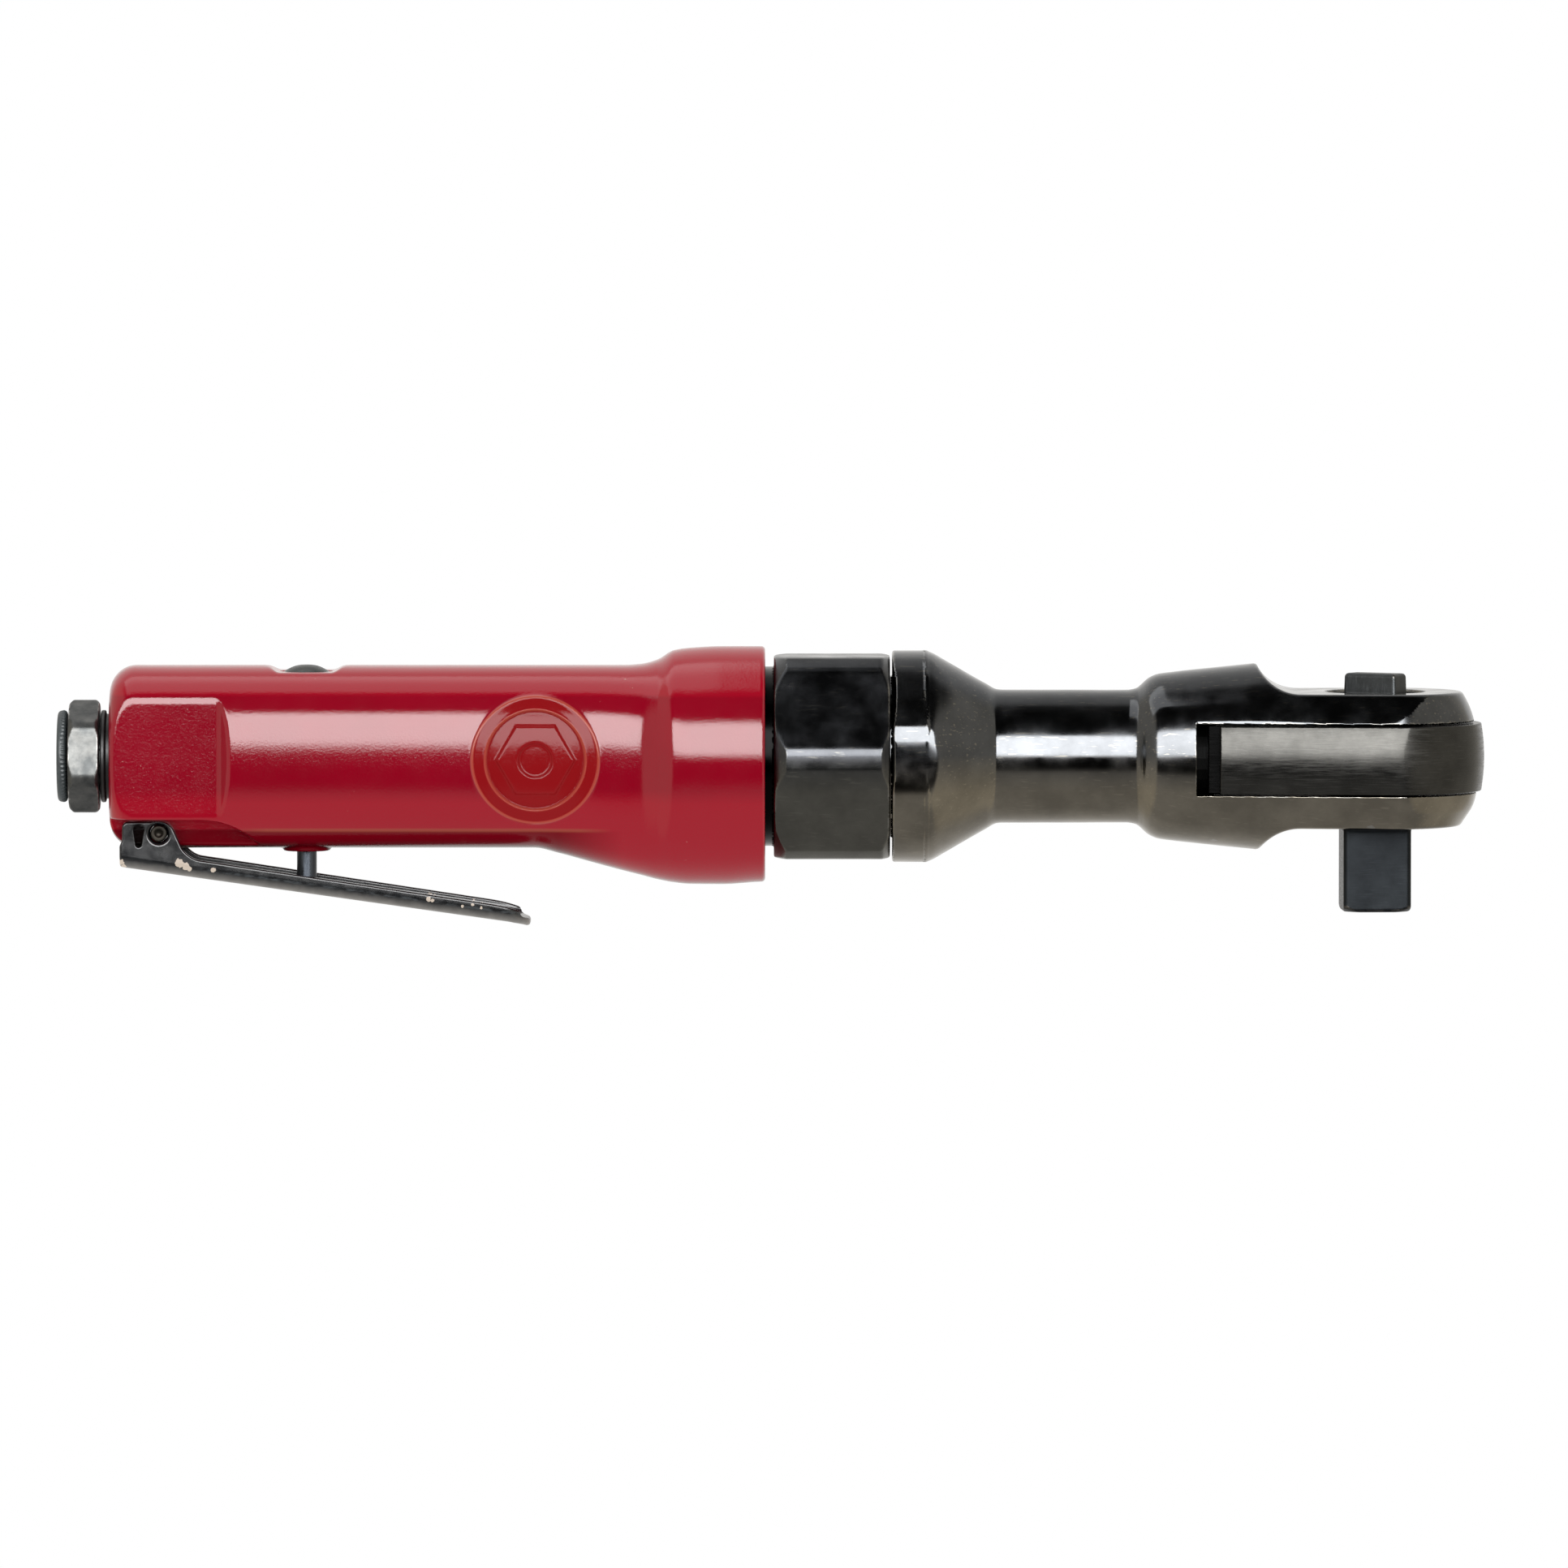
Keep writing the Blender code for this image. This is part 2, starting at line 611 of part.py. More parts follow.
def rotor_and_vanes():
    profile = [
        (-177.9, 0), (-177.9, 3.0), (ROTOR_REAR, 3.0), (ROTOR_REAR, ROTOR), (ROTOR_FRONT, ROTOR),
        (ROTOR_FRONT, 4.8), (-128.4, 4.8), (-128.4, 3.3), (-127.0, 3.3), (-127.0, 0),
    ]
    rotor = turned("rotor", profile, STEEL_BRIGHT)
    pitch = GEAR_MODULE * SUN_TEETH / 2
    low, high = pitch - DEDENDUM * GEAR_MODULE, pitch + STUB_ADDENDUM * GEAR_MODULE
    teeth = gear_outline(SUN_TEETH, low, high, -BACKLASH, pi / SUN_TEETH)
    join(rotor, prism("sun_teeth", [teeth], -127.7, -117.5, None, "X"))
    for k in range(VANES):
        angle = 2 * pi * k / VANES
        slot = block(f"vane_slot_{k}", (ROTOR_REAR - 1, 4.5, -0.9), (ROTOR_FRONT + 1, 12, 0.9))
        vane = block(f"vane_{k + 1}", (ROTOR_REAR + 0.2, 4.8, -0.75), (ROTOR_FRONT - 0.2, 9.5, 0.75), PHENOLIC)
        for piece in (slot, vane):
            spin = Matrix.Rotation(angle, 4, "X")
            piece.data.transform(Matrix.Translation(piece.location))
            piece.data.transform(spin)
            piece.location = (0, 0, 0)
        cut(rotor, slot)


# ---------------------------------------------------------------- coupling and gear train
def hex_coupling():
    outer = [
        (-128.0, 15.3), (-128.0, 16.7), (COUPLING_REAR, 16.7), (COUPLING_REAR, 18.9),
        (-109.7, 20.6), (-91.9, 20.6), (COUPLING_FRONT, 19.1), (COUPLING_FRONT, 15.3),
    ]
    coupling = turned("hex_coupling", outer, STEEL_BLACK)
    keep_inside(coupling, prism("coupling_hex", [hexagon(COUPLING_HEX)], -130, -89, None, "X"))


def gear_train():
    pitch = GEAR_MODULE * RING_TEETH / 2
    low, high = pitch - STUB_ADDENDUM * GEAR_MODULE, pitch + DEDENDUM * GEAR_MODULE
    spaces = gear_outline(RING_TEETH, low, high, BACKLASH, 0)
    prism("ring_gear", [circle((0, 0), 15.0, 36), spaces], -127.7, -117.1, STEEL_BRIGHT, "X")
    turned("gear_spacer", ring_profile(-116.8, -101.6, 13.4, 15.0), STEEL_BRIGHT)

    pitch = GEAR_MODULE * PLANET_TEETH / 2
    low, high = pitch - DEDENDUM * GEAR_MODULE, pitch + STUB_ADDENDUM * GEAR_MODULE
    teeth = gear_outline(PLANET_TEETH, low, high, -BACKLASH, 0)
    for k in range(PLANETS):
        angle = pi / 2 + 2 * pi * k / PLANETS
        at = (0, PLANET_ORBIT * cos(angle), PLANET_ORBIT * sin(angle))
        hole = circle((0, 0), 1.8)
        prism(f"planet_gear_{k + 1}", [teeth, hole], -127.4, -117.6, STEEL_BRIGHT, "X", at)
        turned(f"planet_pin_{k + 1}", cylinder_profile(-127.5, -110.0, 1.5), STEEL_BRIGHT, "X", at)


def crankshaft():
    profile = [
        (-116.8, 5.4), (-116.8, 12.9), (-109.0, 12.9), (-109.0, CRANK_JOURNAL), (-88.0, CRANK_JOURNAL),
        (-88.0, 6.0), (-44.3, 6.0), (-44.3, CRANK_JOURNAL), (YOKE_REAR - 1.2, CRANK_JOURNAL),
        (YOKE_REAR - 0.9, CRANK_JOURNAL - 0.3), (YOKE_REAR - 0.9, 0), (-115.8, 0), (-115.8, 5.4),
    ]
    crank = turned("crankshaft", profile, STEEL_BRIGHT, steps=24)
    join(crank, turned("crank_pin", cylinder_profile(-34.0, -20.5, 2.4), None, "X", (0, 0, CRANK_THROW)))
    for k in range(PLANETS):
        angle = pi / 2 + 2 * pi * k / PLANETS
        at = (0, PLANET_ORBIT * cos(angle), PLANET_ORBIT * sin(angle))
        cut(crank, turned(f"pin_seat_{k}", cylinder_profile(-119, -109.7, 1.6), None, "X", at))
    turned("rear_crank_bushing", ring_profile(-101.0, -90.2, CRANK_JOURNAL + 0.15, 10.6), BRONZE)
    turned("front_crank_bushing", ring_profile(-44.0, SLOT_REAR - 0.6, CRANK_JOURNAL + 0.15, 9.6), BRONZE)
    turned("drive_bushing", ring_profile(-29.3, -20.9, 2.55, 3.6), STEEL_BRIGHT, "X", (0, 0, CRANK_THROW))


# ---------------------------------------------------------------- ratchet head
def head_profile():
    """Flange, cone, neck and the flare to the head, continued as one long taper."""
    return [
        (-101.3, 0), (-101.3, 15.0), (-90.0, 15.0), (-90.0, 19.3), (-89.6, 19.7), (-83.6, 19.7),
        (-83.2, 19.3), (-82.4, 19.2), (-70.5, 12.4), (-45.7, 12.36), (-44.2, 12.8), (-42.2, 14.6),
        (-39.9, 15.45), (-38.4, 15.65), (-22.7, 17.3), (22.0, 21.6), (22.0, 0),
    ]


def relief_outline(side):
    """Side view of what is milled away over one face of the head, with its scooped end."""
    face = HEAD_TOP if side > 0 else HEAD_BOTTOM
    radius = 8.7
    scoop = []
    for k in range(9):
        angle = radians(-90 - 80 * k / 8)
        scoop.append((-14.2 + radius * cos(angle), face + side * radius * (1 + sin(angle))))
    end = scoop[-1]
    return [(26, face)] + scoop + [(end[0], side * 30), (26, side * 30)]


def ratchet_housing():
    body = turned("ratchet_housing", head_profile(), STEEL_BLACK)
    nose = [
        (HEAD_BOTTOM - 1, 0), (HEAD_BOTTOM - 1, 15.1), (HEAD_BOTTOM, 15.8), (-8.4, 18.8),
        (8.9, HEAD_NOSE), (HEAD_TOP, 16.2), (HEAD_TOP + 1, 15.4), (HEAD_TOP + 1, 0),
    ]
    outside = block("nose_outside", (0, -30, HEAD_BOTTOM - 5), (40, 30, HEAD_TOP + 5))
    cut(outside, turned("nose_shape", nose, None, "Z"))
    bore = [
        (-103, 0), (-103, 13.2), (-101.2, 13.2), (-101.2, 10.9), (-89.9, 10.9), (-89.9, 8.4),
        (-44.3, 8.4), (-44.3, 9.9), (YOKE_REAR - 0.5, 9.9), (YOKE_REAR - 0.5, 0),
    ]
    slot = block("fork_slot", (SLOT_REAR, -30, -SLOT_HALF), (40, 30, SLOT_HALF))
    top_bore = [
        (0, 0), (0, YOKE_TIP), (10.3, YOKE_TIP), (10.3, 9.8), (11.5, 9.8), (11.5, YOKE_TIP),
        (14, YOKE_TIP), (14, 0),
    ]
    cut(
        body,
        prism("top_relief", [relief_outline(1)], -30, 30, None, "Y"),
        prism("bottom_relief", [relief_outline(-1)], -30, 30, None, "Y"),
        outside,
        slot,
        turned("crank_bore", bore),
        turned("anvil_top_bore", top_bore, None, "Z"),
        turned("anvil_bottom_bore", cylinder_profile(-16, 0, 8.4), None, "Z"),
    )


def yoke():
    """Swinging fork whose inner teeth drive the pawl; its flanks follow the head's taper.

    Two shoulders reach back beside the crankshaft and close the fork slot.
    """
    inner, outer = CRANK_JOURNAL + 2.5, CRANK_JOURNAL + 5.8
    nose = arc((0, 0), YOKE_NOSE, -90, 90, 20)
    plan = [(YOKE_REAR, -24), (0, -24)] + nose + [(0, 24), (YOKE_REAR, 24)]
    for side in (1, -1):
        shoulder = [
            (YOKE_REAR, outer * side), (YOKE_SHOULDER, outer * side),
            (YOKE_SHOULDER, inner * side), (YOKE_REAR, inner * side),
        ]
        plan += shoulder[::side]
    teeth = []
    for k in range(YOKE_TEETH):
        root = 2 * pi * k / YOKE_TEETH
        tip = root + pi / YOKE_TEETH
        teeth.append((YOKE_ROOT * cos(root), YOKE_ROOT * sin(root)))
        teeth.append((YOKE_TIP * cos(tip), YOKE_TIP * sin(tip)))
    body = prism("ratchet_yoke", [plan, teeth], -YOKE_HALF, YOKE_HALF, STEEL_BRIGHT)
    flank = [(-40, 0), (-40, 15.5), (-22.7, 17.3), (22, 21.6), (22, 0)]
    keep_inside(body, turned("yoke_flank", flank))
    fork = 5.5
    mouth = [(-40, -fork), (-19.0, -fork)] + [(-16.5, -3.0), (-16.5, 3.0)] + [(-19.0, fork), (-40, fork)]
    cut(body, prism("fork_pocket", [mouth], -10, 10))


def turned_about(point, angle):
    """A point of the head's plan turned about the pawl's pivot."""
    dx, dy = point[0] - PAWL_PIVOT, point[1]
    return (PAWL_PIVOT + dx * cos(angle) - dy * sin(angle), dx * sin(angle) + dy * cos(angle))


def pawl_outline():
    """Rocker pawl in the engaged position: its +Y end sits in the yoke's teeth."""
    step = 180 / YOKE_TEETH
    valley, tip = YOKE_TIP - 0.17, YOKE_ROOT - 0.17
    half = []
    for k in range(5, 12):
        radius = tip if k % 2 == 0 else valley
        angle = radians(180 - k * step)
        half.append((radius * cos(angle), radius * sin(angle)))
    half.append((4.5 * cos(radians(128)), 4.5 * sin(radians(128))))
    half.append((4.5 * cos(radians(150)), 4.5 * sin(radians(150))))
    neutral = [turned_about(point, -PAWL_TILT) for point in half]
    mirrored = [(x, -y) for x, y in reversed(neutral)]
    whole = [(-8.5, 0)] + neutral + [(-4.6, 0.6), (-4.6, -0.6)] + mirrored
    return [turned_about(point, PAWL_TILT) for point in whole]


def anvil():
    half = SQUARE / 2
    inset = half - SQUARE_EDGE
    square = []
    for k in range(4):
        start = 90 * k + SQUARE_TURN
        reach, aim = inset * 2 ** 0.5, radians(start + 45)
        square += arc((reach * cos(aim), reach * sin(aim)), SQUARE_EDGE, start, start + 90, 3)
    profile = [
        (ANVIL_TOP, 0), (ANVIL_TOP, ANVIL - 0.5), (ANVIL_TOP - 0.5, ANVIL), (-6.4, ANVIL),
        (-6.4, 8.1), (SQUARE_TOP + 0.3, 8.1), (SQUARE_TOP, 7.8), (SQUARE_TOP, 0),
    ]
    body = turned("anvil", profile, STEEL_BLACK, "Z")
    drive = prism("drive_square", [square], -AXIS_HEIGHT, SQUARE_TOP + 0.2)
    end = [(SQUARE_TOP + 2, 0), (SQUARE_TOP + 2, 10), (-27.2, 10), (-AXIS_HEIGHT, 7.1), (-AXIS_HEIGHT, 0)]
    keep_inside(drive, turned("square_end", end, None, "Z"))
    join(body, drive)
    detent_y = half - 1.0
    spot = (0, 0, -21.5)
    cut(
        body,
        turned("knob_bore", cylinder_profile(-4.5, 12, 2.6), None, "Z"),
        block("pawl_pocket", (-12, -8.6, -4.2), (-1.6, 8.6, 4.2)),
        turned("pawl_pin_bore", cylinder_profile(-5.9, 5.9, 1.0), None, "Z", (PAWL_PIVOT, 0, 0)),
        turned("detent_bore", cylinder_profile(1.4, 9, 1.75), None, "Y", spot),
    )
    ball("socket_ball", 1.6, (0, detent_y, -21.5), STEEL_BRIGHT)
    coil_spring("socket_ball_spring", 1.0, 0.4, 1.5, 3, STEEL_BRIGHT, "Z", (0, 0, 0))
    spring = bpy.data.objects["socket_ball_spring"]
    spring.rotation_euler = (-pi / 2, 0, 0)
    spring.location = Vector((0, 1.8, -21.5)) * MM

    pawl_hole = circle((PAWL_PIVOT, 0), 1.15)
    outline = [(x - PAWL_PIVOT, y) for x, y in pawl_outline()]
    hole = [(x - PAWL_PIVOT, y) for x, y in pawl_hole]
    prism("pawl", [outline, hole], -3.9, 3.9, STEEL_BRIGHT, "Z", (PAWL_PIVOT, 0, 0))
    turned("pawl_pin", cylinder_profile(-5.7, 5.7, 0.85), STEEL_BRIGHT, "Z", (PAWL_PIVOT, 0, 0))

    ring = arc((0, 0), 9.5, 20, 340, 40) + arc((0, 0), 8.1, 340, 20, 40)
    prism("anvil_retaining_ring", [ring], 10.6, 11.3, STEEL_BLACK)


def reverse_knob():
    bar_length, bar_width = 10.9, 5.0
    shaft = [
        (-3.8, 0), (-3.8, 2.3), (10.5, 2.3), (10.5, 5.4), (11.6, 5.4), (11.6, 0),
    ]
    knob = turned("reverse_knob", shaft, STEEL_BLACK, "Z")
    knob.rotation_euler = (0, 0, KNOB_TURN)
    bar = block("knob_bar", (-bar_length / 2, -bar_width / 2, 11.0), (bar_length / 2, bar_width / 2, 15.5))
    bevel = bar.modifiers.new("edges", "BEVEL")
    bevel.width = 0.7 * MM
    bevel.segments = 2
    bar.rotation_euler = (0, 0, KNOB_TURN)
    join(knob, bar)
    cross_hole = turned("plunger_hole", cylinder_profile(-3.0, 1.6, 1.1), None, "X")
    cross_hole.rotation_euler = (0, pi / 2, KNOB_TURN)
    cut(knob, cross_hole)
    plunger = turned("pawl_plunger", [(-3.5, 0), (-3.2, 0.6), (-2.7, 0.85), (-0.6, 0.85), (-0.6, 0)],
                     STEEL_BRIGHT, "X", steps=12)
    plunger.rotation_euler = (0, pi / 2, KNOB_TURN)


def air_ratchet():
    motor_housing()
    air_inlet()
    throttle_lever()
    throttle_valve()
    end_plates()
    rotor_and_vanes()
    hex_coupling()
    gear_train()
    crankshaft()
    ratchet_housing()
    yoke()
    anvil()
    reverse_knob()


air_ratchet()
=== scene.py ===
import json
from math import cos, pi, radians, sin, tan

import bmesh
import bpy
import numpy as np
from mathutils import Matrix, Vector


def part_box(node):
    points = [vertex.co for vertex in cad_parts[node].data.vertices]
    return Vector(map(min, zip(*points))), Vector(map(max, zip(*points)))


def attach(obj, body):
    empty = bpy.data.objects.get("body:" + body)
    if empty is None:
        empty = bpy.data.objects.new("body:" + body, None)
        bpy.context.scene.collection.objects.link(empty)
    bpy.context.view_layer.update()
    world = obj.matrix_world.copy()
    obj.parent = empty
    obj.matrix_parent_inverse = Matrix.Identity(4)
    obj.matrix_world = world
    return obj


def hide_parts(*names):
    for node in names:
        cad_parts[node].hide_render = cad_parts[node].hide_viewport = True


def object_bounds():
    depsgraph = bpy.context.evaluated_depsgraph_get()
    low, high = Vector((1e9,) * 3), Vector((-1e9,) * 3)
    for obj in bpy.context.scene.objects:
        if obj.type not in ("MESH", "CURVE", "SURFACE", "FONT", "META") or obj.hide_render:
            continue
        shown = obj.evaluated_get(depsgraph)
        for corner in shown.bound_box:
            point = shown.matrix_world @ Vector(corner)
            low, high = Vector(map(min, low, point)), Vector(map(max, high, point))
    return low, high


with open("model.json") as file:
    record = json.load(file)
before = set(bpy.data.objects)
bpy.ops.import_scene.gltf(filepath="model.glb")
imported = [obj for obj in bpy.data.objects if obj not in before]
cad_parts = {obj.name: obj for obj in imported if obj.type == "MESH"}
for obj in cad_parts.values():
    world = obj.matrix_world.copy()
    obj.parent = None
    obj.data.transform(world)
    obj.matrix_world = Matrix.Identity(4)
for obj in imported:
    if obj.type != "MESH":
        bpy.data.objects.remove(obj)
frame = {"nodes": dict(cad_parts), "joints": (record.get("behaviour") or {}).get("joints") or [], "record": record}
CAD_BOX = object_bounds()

# Air ratchet, the looks. Shapes are worked out in millimetres, from the tool axis (y = z = 0) and
# the drive square's axis (x = 0), and go into the row frame, in metres, when their mesh is made.
MM = 0.001
COARSE = 0.42                 # mesh step of the big pieces


def extent(node):
    """Lowest and highest corner of a CAD node, in millimetres from the tool axis."""
    low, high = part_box(node)
    return np.array(low) / MM - (0, 0, AXIS), np.array(high) / MM - (0, 0, AXIS)


def middle(node):
    low, high = extent(node)
    return (low + high) / 2


def joint_place(name):
    """Where a hinge sits, in millimetres from the tool axis."""
    for joint in frame["joints"]:
        if joint["name"] == name:
            return np.array(joint["pos_m"]) / MM - (0, 0, AXIS)
    raise ValueError(name)


AXIS = (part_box("ratchet_yoke")[0].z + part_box("ratchet_yoke")[1].z) / 2 / MM


# ---------------------------------------------------------------- fields: distances in millimetres
def meet(a, b, radius=0.0):
    """Where both fields are inside; the edge between them is rounded."""
    if radius <= 0:
        return np.maximum(a, b)
    u = np.maximum(a + radius, 0)
    v = np.maximum(b + radius, 0)
    return np.minimum(np.maximum(a, b), -radius) + np.sqrt(u * u + v * v)


def join(a, b, radius=0.0):
    """Where either field is inside; the corner between them is filled to a radius."""
    return -meet(-a, -b, radius)


def carve(a, b, radius=0.0):
    return meet(a, -b, radius)


def between(value, low, high):
    return np.maximum(low - value, value - high)


def disc(u, v, radius):
    return np.sqrt(u * u + v * v) - radius


def through(x, xs, ys):
    """A smooth curve through points, with no overshoot between them."""
    xs, ys = np.array(xs, float), np.array(ys, float)
    step = np.diff(xs)
    slope = np.diff(ys) / step
    tangent = np.zeros_like(ys)
    product = slope[:-1] * slope[1:]
    mean = slope[:-1] + slope[1:]
    tangent[1:-1] = np.where(product > 0, 2 * product / np.where(mean == 0, 1, mean), 0)
    tangent[0], tangent[-1] = slope[0], slope[-1]
    k = np.clip(np.searchsorted(xs, x) - 1, 0, len(xs) - 2)
    t = np.clip((x - xs[k]) / step[k], 0, 1)
    a = ys[k] * (1 + 2 * t) * (1 - t) ** 2 + tangent[k] * step[k] * t * (1 - t) ** 2
    b = ys[k + 1] * t * t * (3 - 2 * t) + tangent[k + 1] * step[k] * t * t * (t - 1)
    return a + b


# ---------------------------------------------------------------- meshes from fields
CORNERS = np.array([(i, j, k) for i in (0, 1) for j in (0, 1) for k in (0, 1)])
EDGES = [(a, b) for a in range(8) for b in range(a + 1, 8) if abs(CORNERS[a] - CORNERS[b]).sum() == 1]


def gradient(field, points, reach=0.02):
    slopes = []
    for axis in range(3):
        shift = np.zeros(3)
        shift[axis] = reach
        ahead = field(*(points + shift).T)
        behind = field(*(points - shift).T)
        slopes.append((ahead - behind) / (2 * reach))
    return np.array(slopes).T


def settle(field, points, rounds):
    """Moves points onto the field's surface and gives the surface's normals there."""
    for _ in range(rounds):
        slope = gradient(field, points)
        steep = np.maximum((slope * slope).sum(1), 0.05)
        move = (field(*points.T) / steep)[:, None] * slope
        length = np.sqrt((move * move).sum(1))[:, None]
        points = points - move * np.minimum(1, 0.25 / np.maximum(length, 1e-9))
    slope = gradient(field, points)
    return points, slope / np.maximum(np.sqrt((slope * slope).sum(1)), 1e-9)[:, None]


def sculpt(name, field, low, high, step, turn=0.0, refine=None, slant=0.0):
    """A closed mesh of the surface where field(x, y, z) is zero, with smooth normals.

    turn rotates the finished mesh about the drive axis, in degrees. refine(points) says which
    vertices lie where the mesh needs to be twice as fine. slant lets the grid climb along x, for
    a piece that does.
    """
    axes = [np.arange(a - 2.37 * step, b + 2.6 * step, step) for a, b in zip(low, high)]
    grid = list(np.meshgrid(*axes, indexing="ij", sparse=True))
    grid[2] = grid[2] + slant * (grid[0] - low[0])
    value = np.broadcast_to(field(*grid), [len(a) for a in axes]).astype(np.float32)
    inside = value < 0
    cells = [n - 1 for n in value.shape]
    total = np.zeros(cells, np.uint8)
    for i, j, k in CORNERS:
        total += inside[i:cells[0] + i, j:cells[1] + j, k:cells[2] + k]
    spots = np.argwhere((total > 0) & (total < 8))
    index = np.full(cells, -1, np.int64)
    index[tuple(spots.T)] = np.arange(len(spots))

    at = spots[:, None, :] + CORNERS[None]
    corner = value[at[..., 0], at[..., 1], at[..., 2]]
    places = np.zeros((len(spots), 3))
    hits = np.zeros(len(spots))
    for a, b in EDGES:
        crossed = (corner[:, a] < 0) != (corner[:, b] < 0)
        share = corner[crossed, a] / (corner[crossed, a] - corner[crossed, b])
        places[crossed] += CORNERS[a] + share[:, None] * (CORNERS[b] - CORNERS[a])
        hits += crossed
    places = places / hits[:, None]
    origin = np.array([a[0] for a in axes])
    points = origin + (spots + places) * step
    points[:, 2] += slant * (points[:, 0] - low[0])

    faces = []
    for axis in range(3):
        u, v = (axis + 1) % 3, (axis + 2) % 3
        near = [slice(None)] * 3
        far = [slice(None)] * 3
        near[axis], far[axis] = slice(0, -1), slice(1, None)
        for other in (u, v):
            near[other] = far[other] = slice(1, -1)
        start, end = inside[tuple(near)], inside[tuple(far)]
        cross = np.argwhere(start != end)
        outward = start[tuple(cross.T)]
        du, dv = np.zeros(3, int), np.zeros(3, int)
        du[u] = dv[v] = 1
        loop = [index[tuple((cross + d).T)] for d in (0 * du, du, du + dv, dv)]
        quad = np.array(loop).T
        quad[~outward] = quad[~outward][:, ::-1]
        faces.append(quad)
    faces = np.concatenate(faces)

    points, normals = settle(field, points, 3)
    mesh = bpy.data.meshes.new(name)
    mesh.from_pydata(points.tolist(), [], faces.tolist())
    if refine is not None:
        work = bmesh.new()
        work.from_mesh(mesh)
        marked = refine(points)
        work.verts.ensure_lookup_table()
        chosen = [e for e in work.edges if marked[e.verts[0].index] and marked[e.verts[1].index]]
        bmesh.ops.subdivide_edges(work, edges=chosen, cuts=1, use_grid_fill=True)
        work.to_mesh(mesh)
        work.free()
        points = np.zeros(len(mesh.vertices) * 3)
        mesh.vertices.foreach_get("co", points)
        points, normals = settle(field, points.reshape(-1, 3), 3)
    if turn:
        c, s = cos(radians(turn)), sin(radians(turn))
        spin = np.array([(c, s, 0), (-s, c, 0), (0, 0, 1)])
        points, normals = points @ spin, normals @ spin
    points = (points + (0, 0, AXIS)) * MM
    mesh.vertices.foreach_set("co", points.ravel())
    mesh.polygons.foreach_set("use_smooth", np.ones(len(mesh.polygons), bool))
    mesh.update()
    mesh.normals_split_custom_set_from_vertices(normals.tolist())
    obj = bpy.data.objects.new(name, mesh)
    bpy.context.scene.collection.objects.link(obj)
    return obj


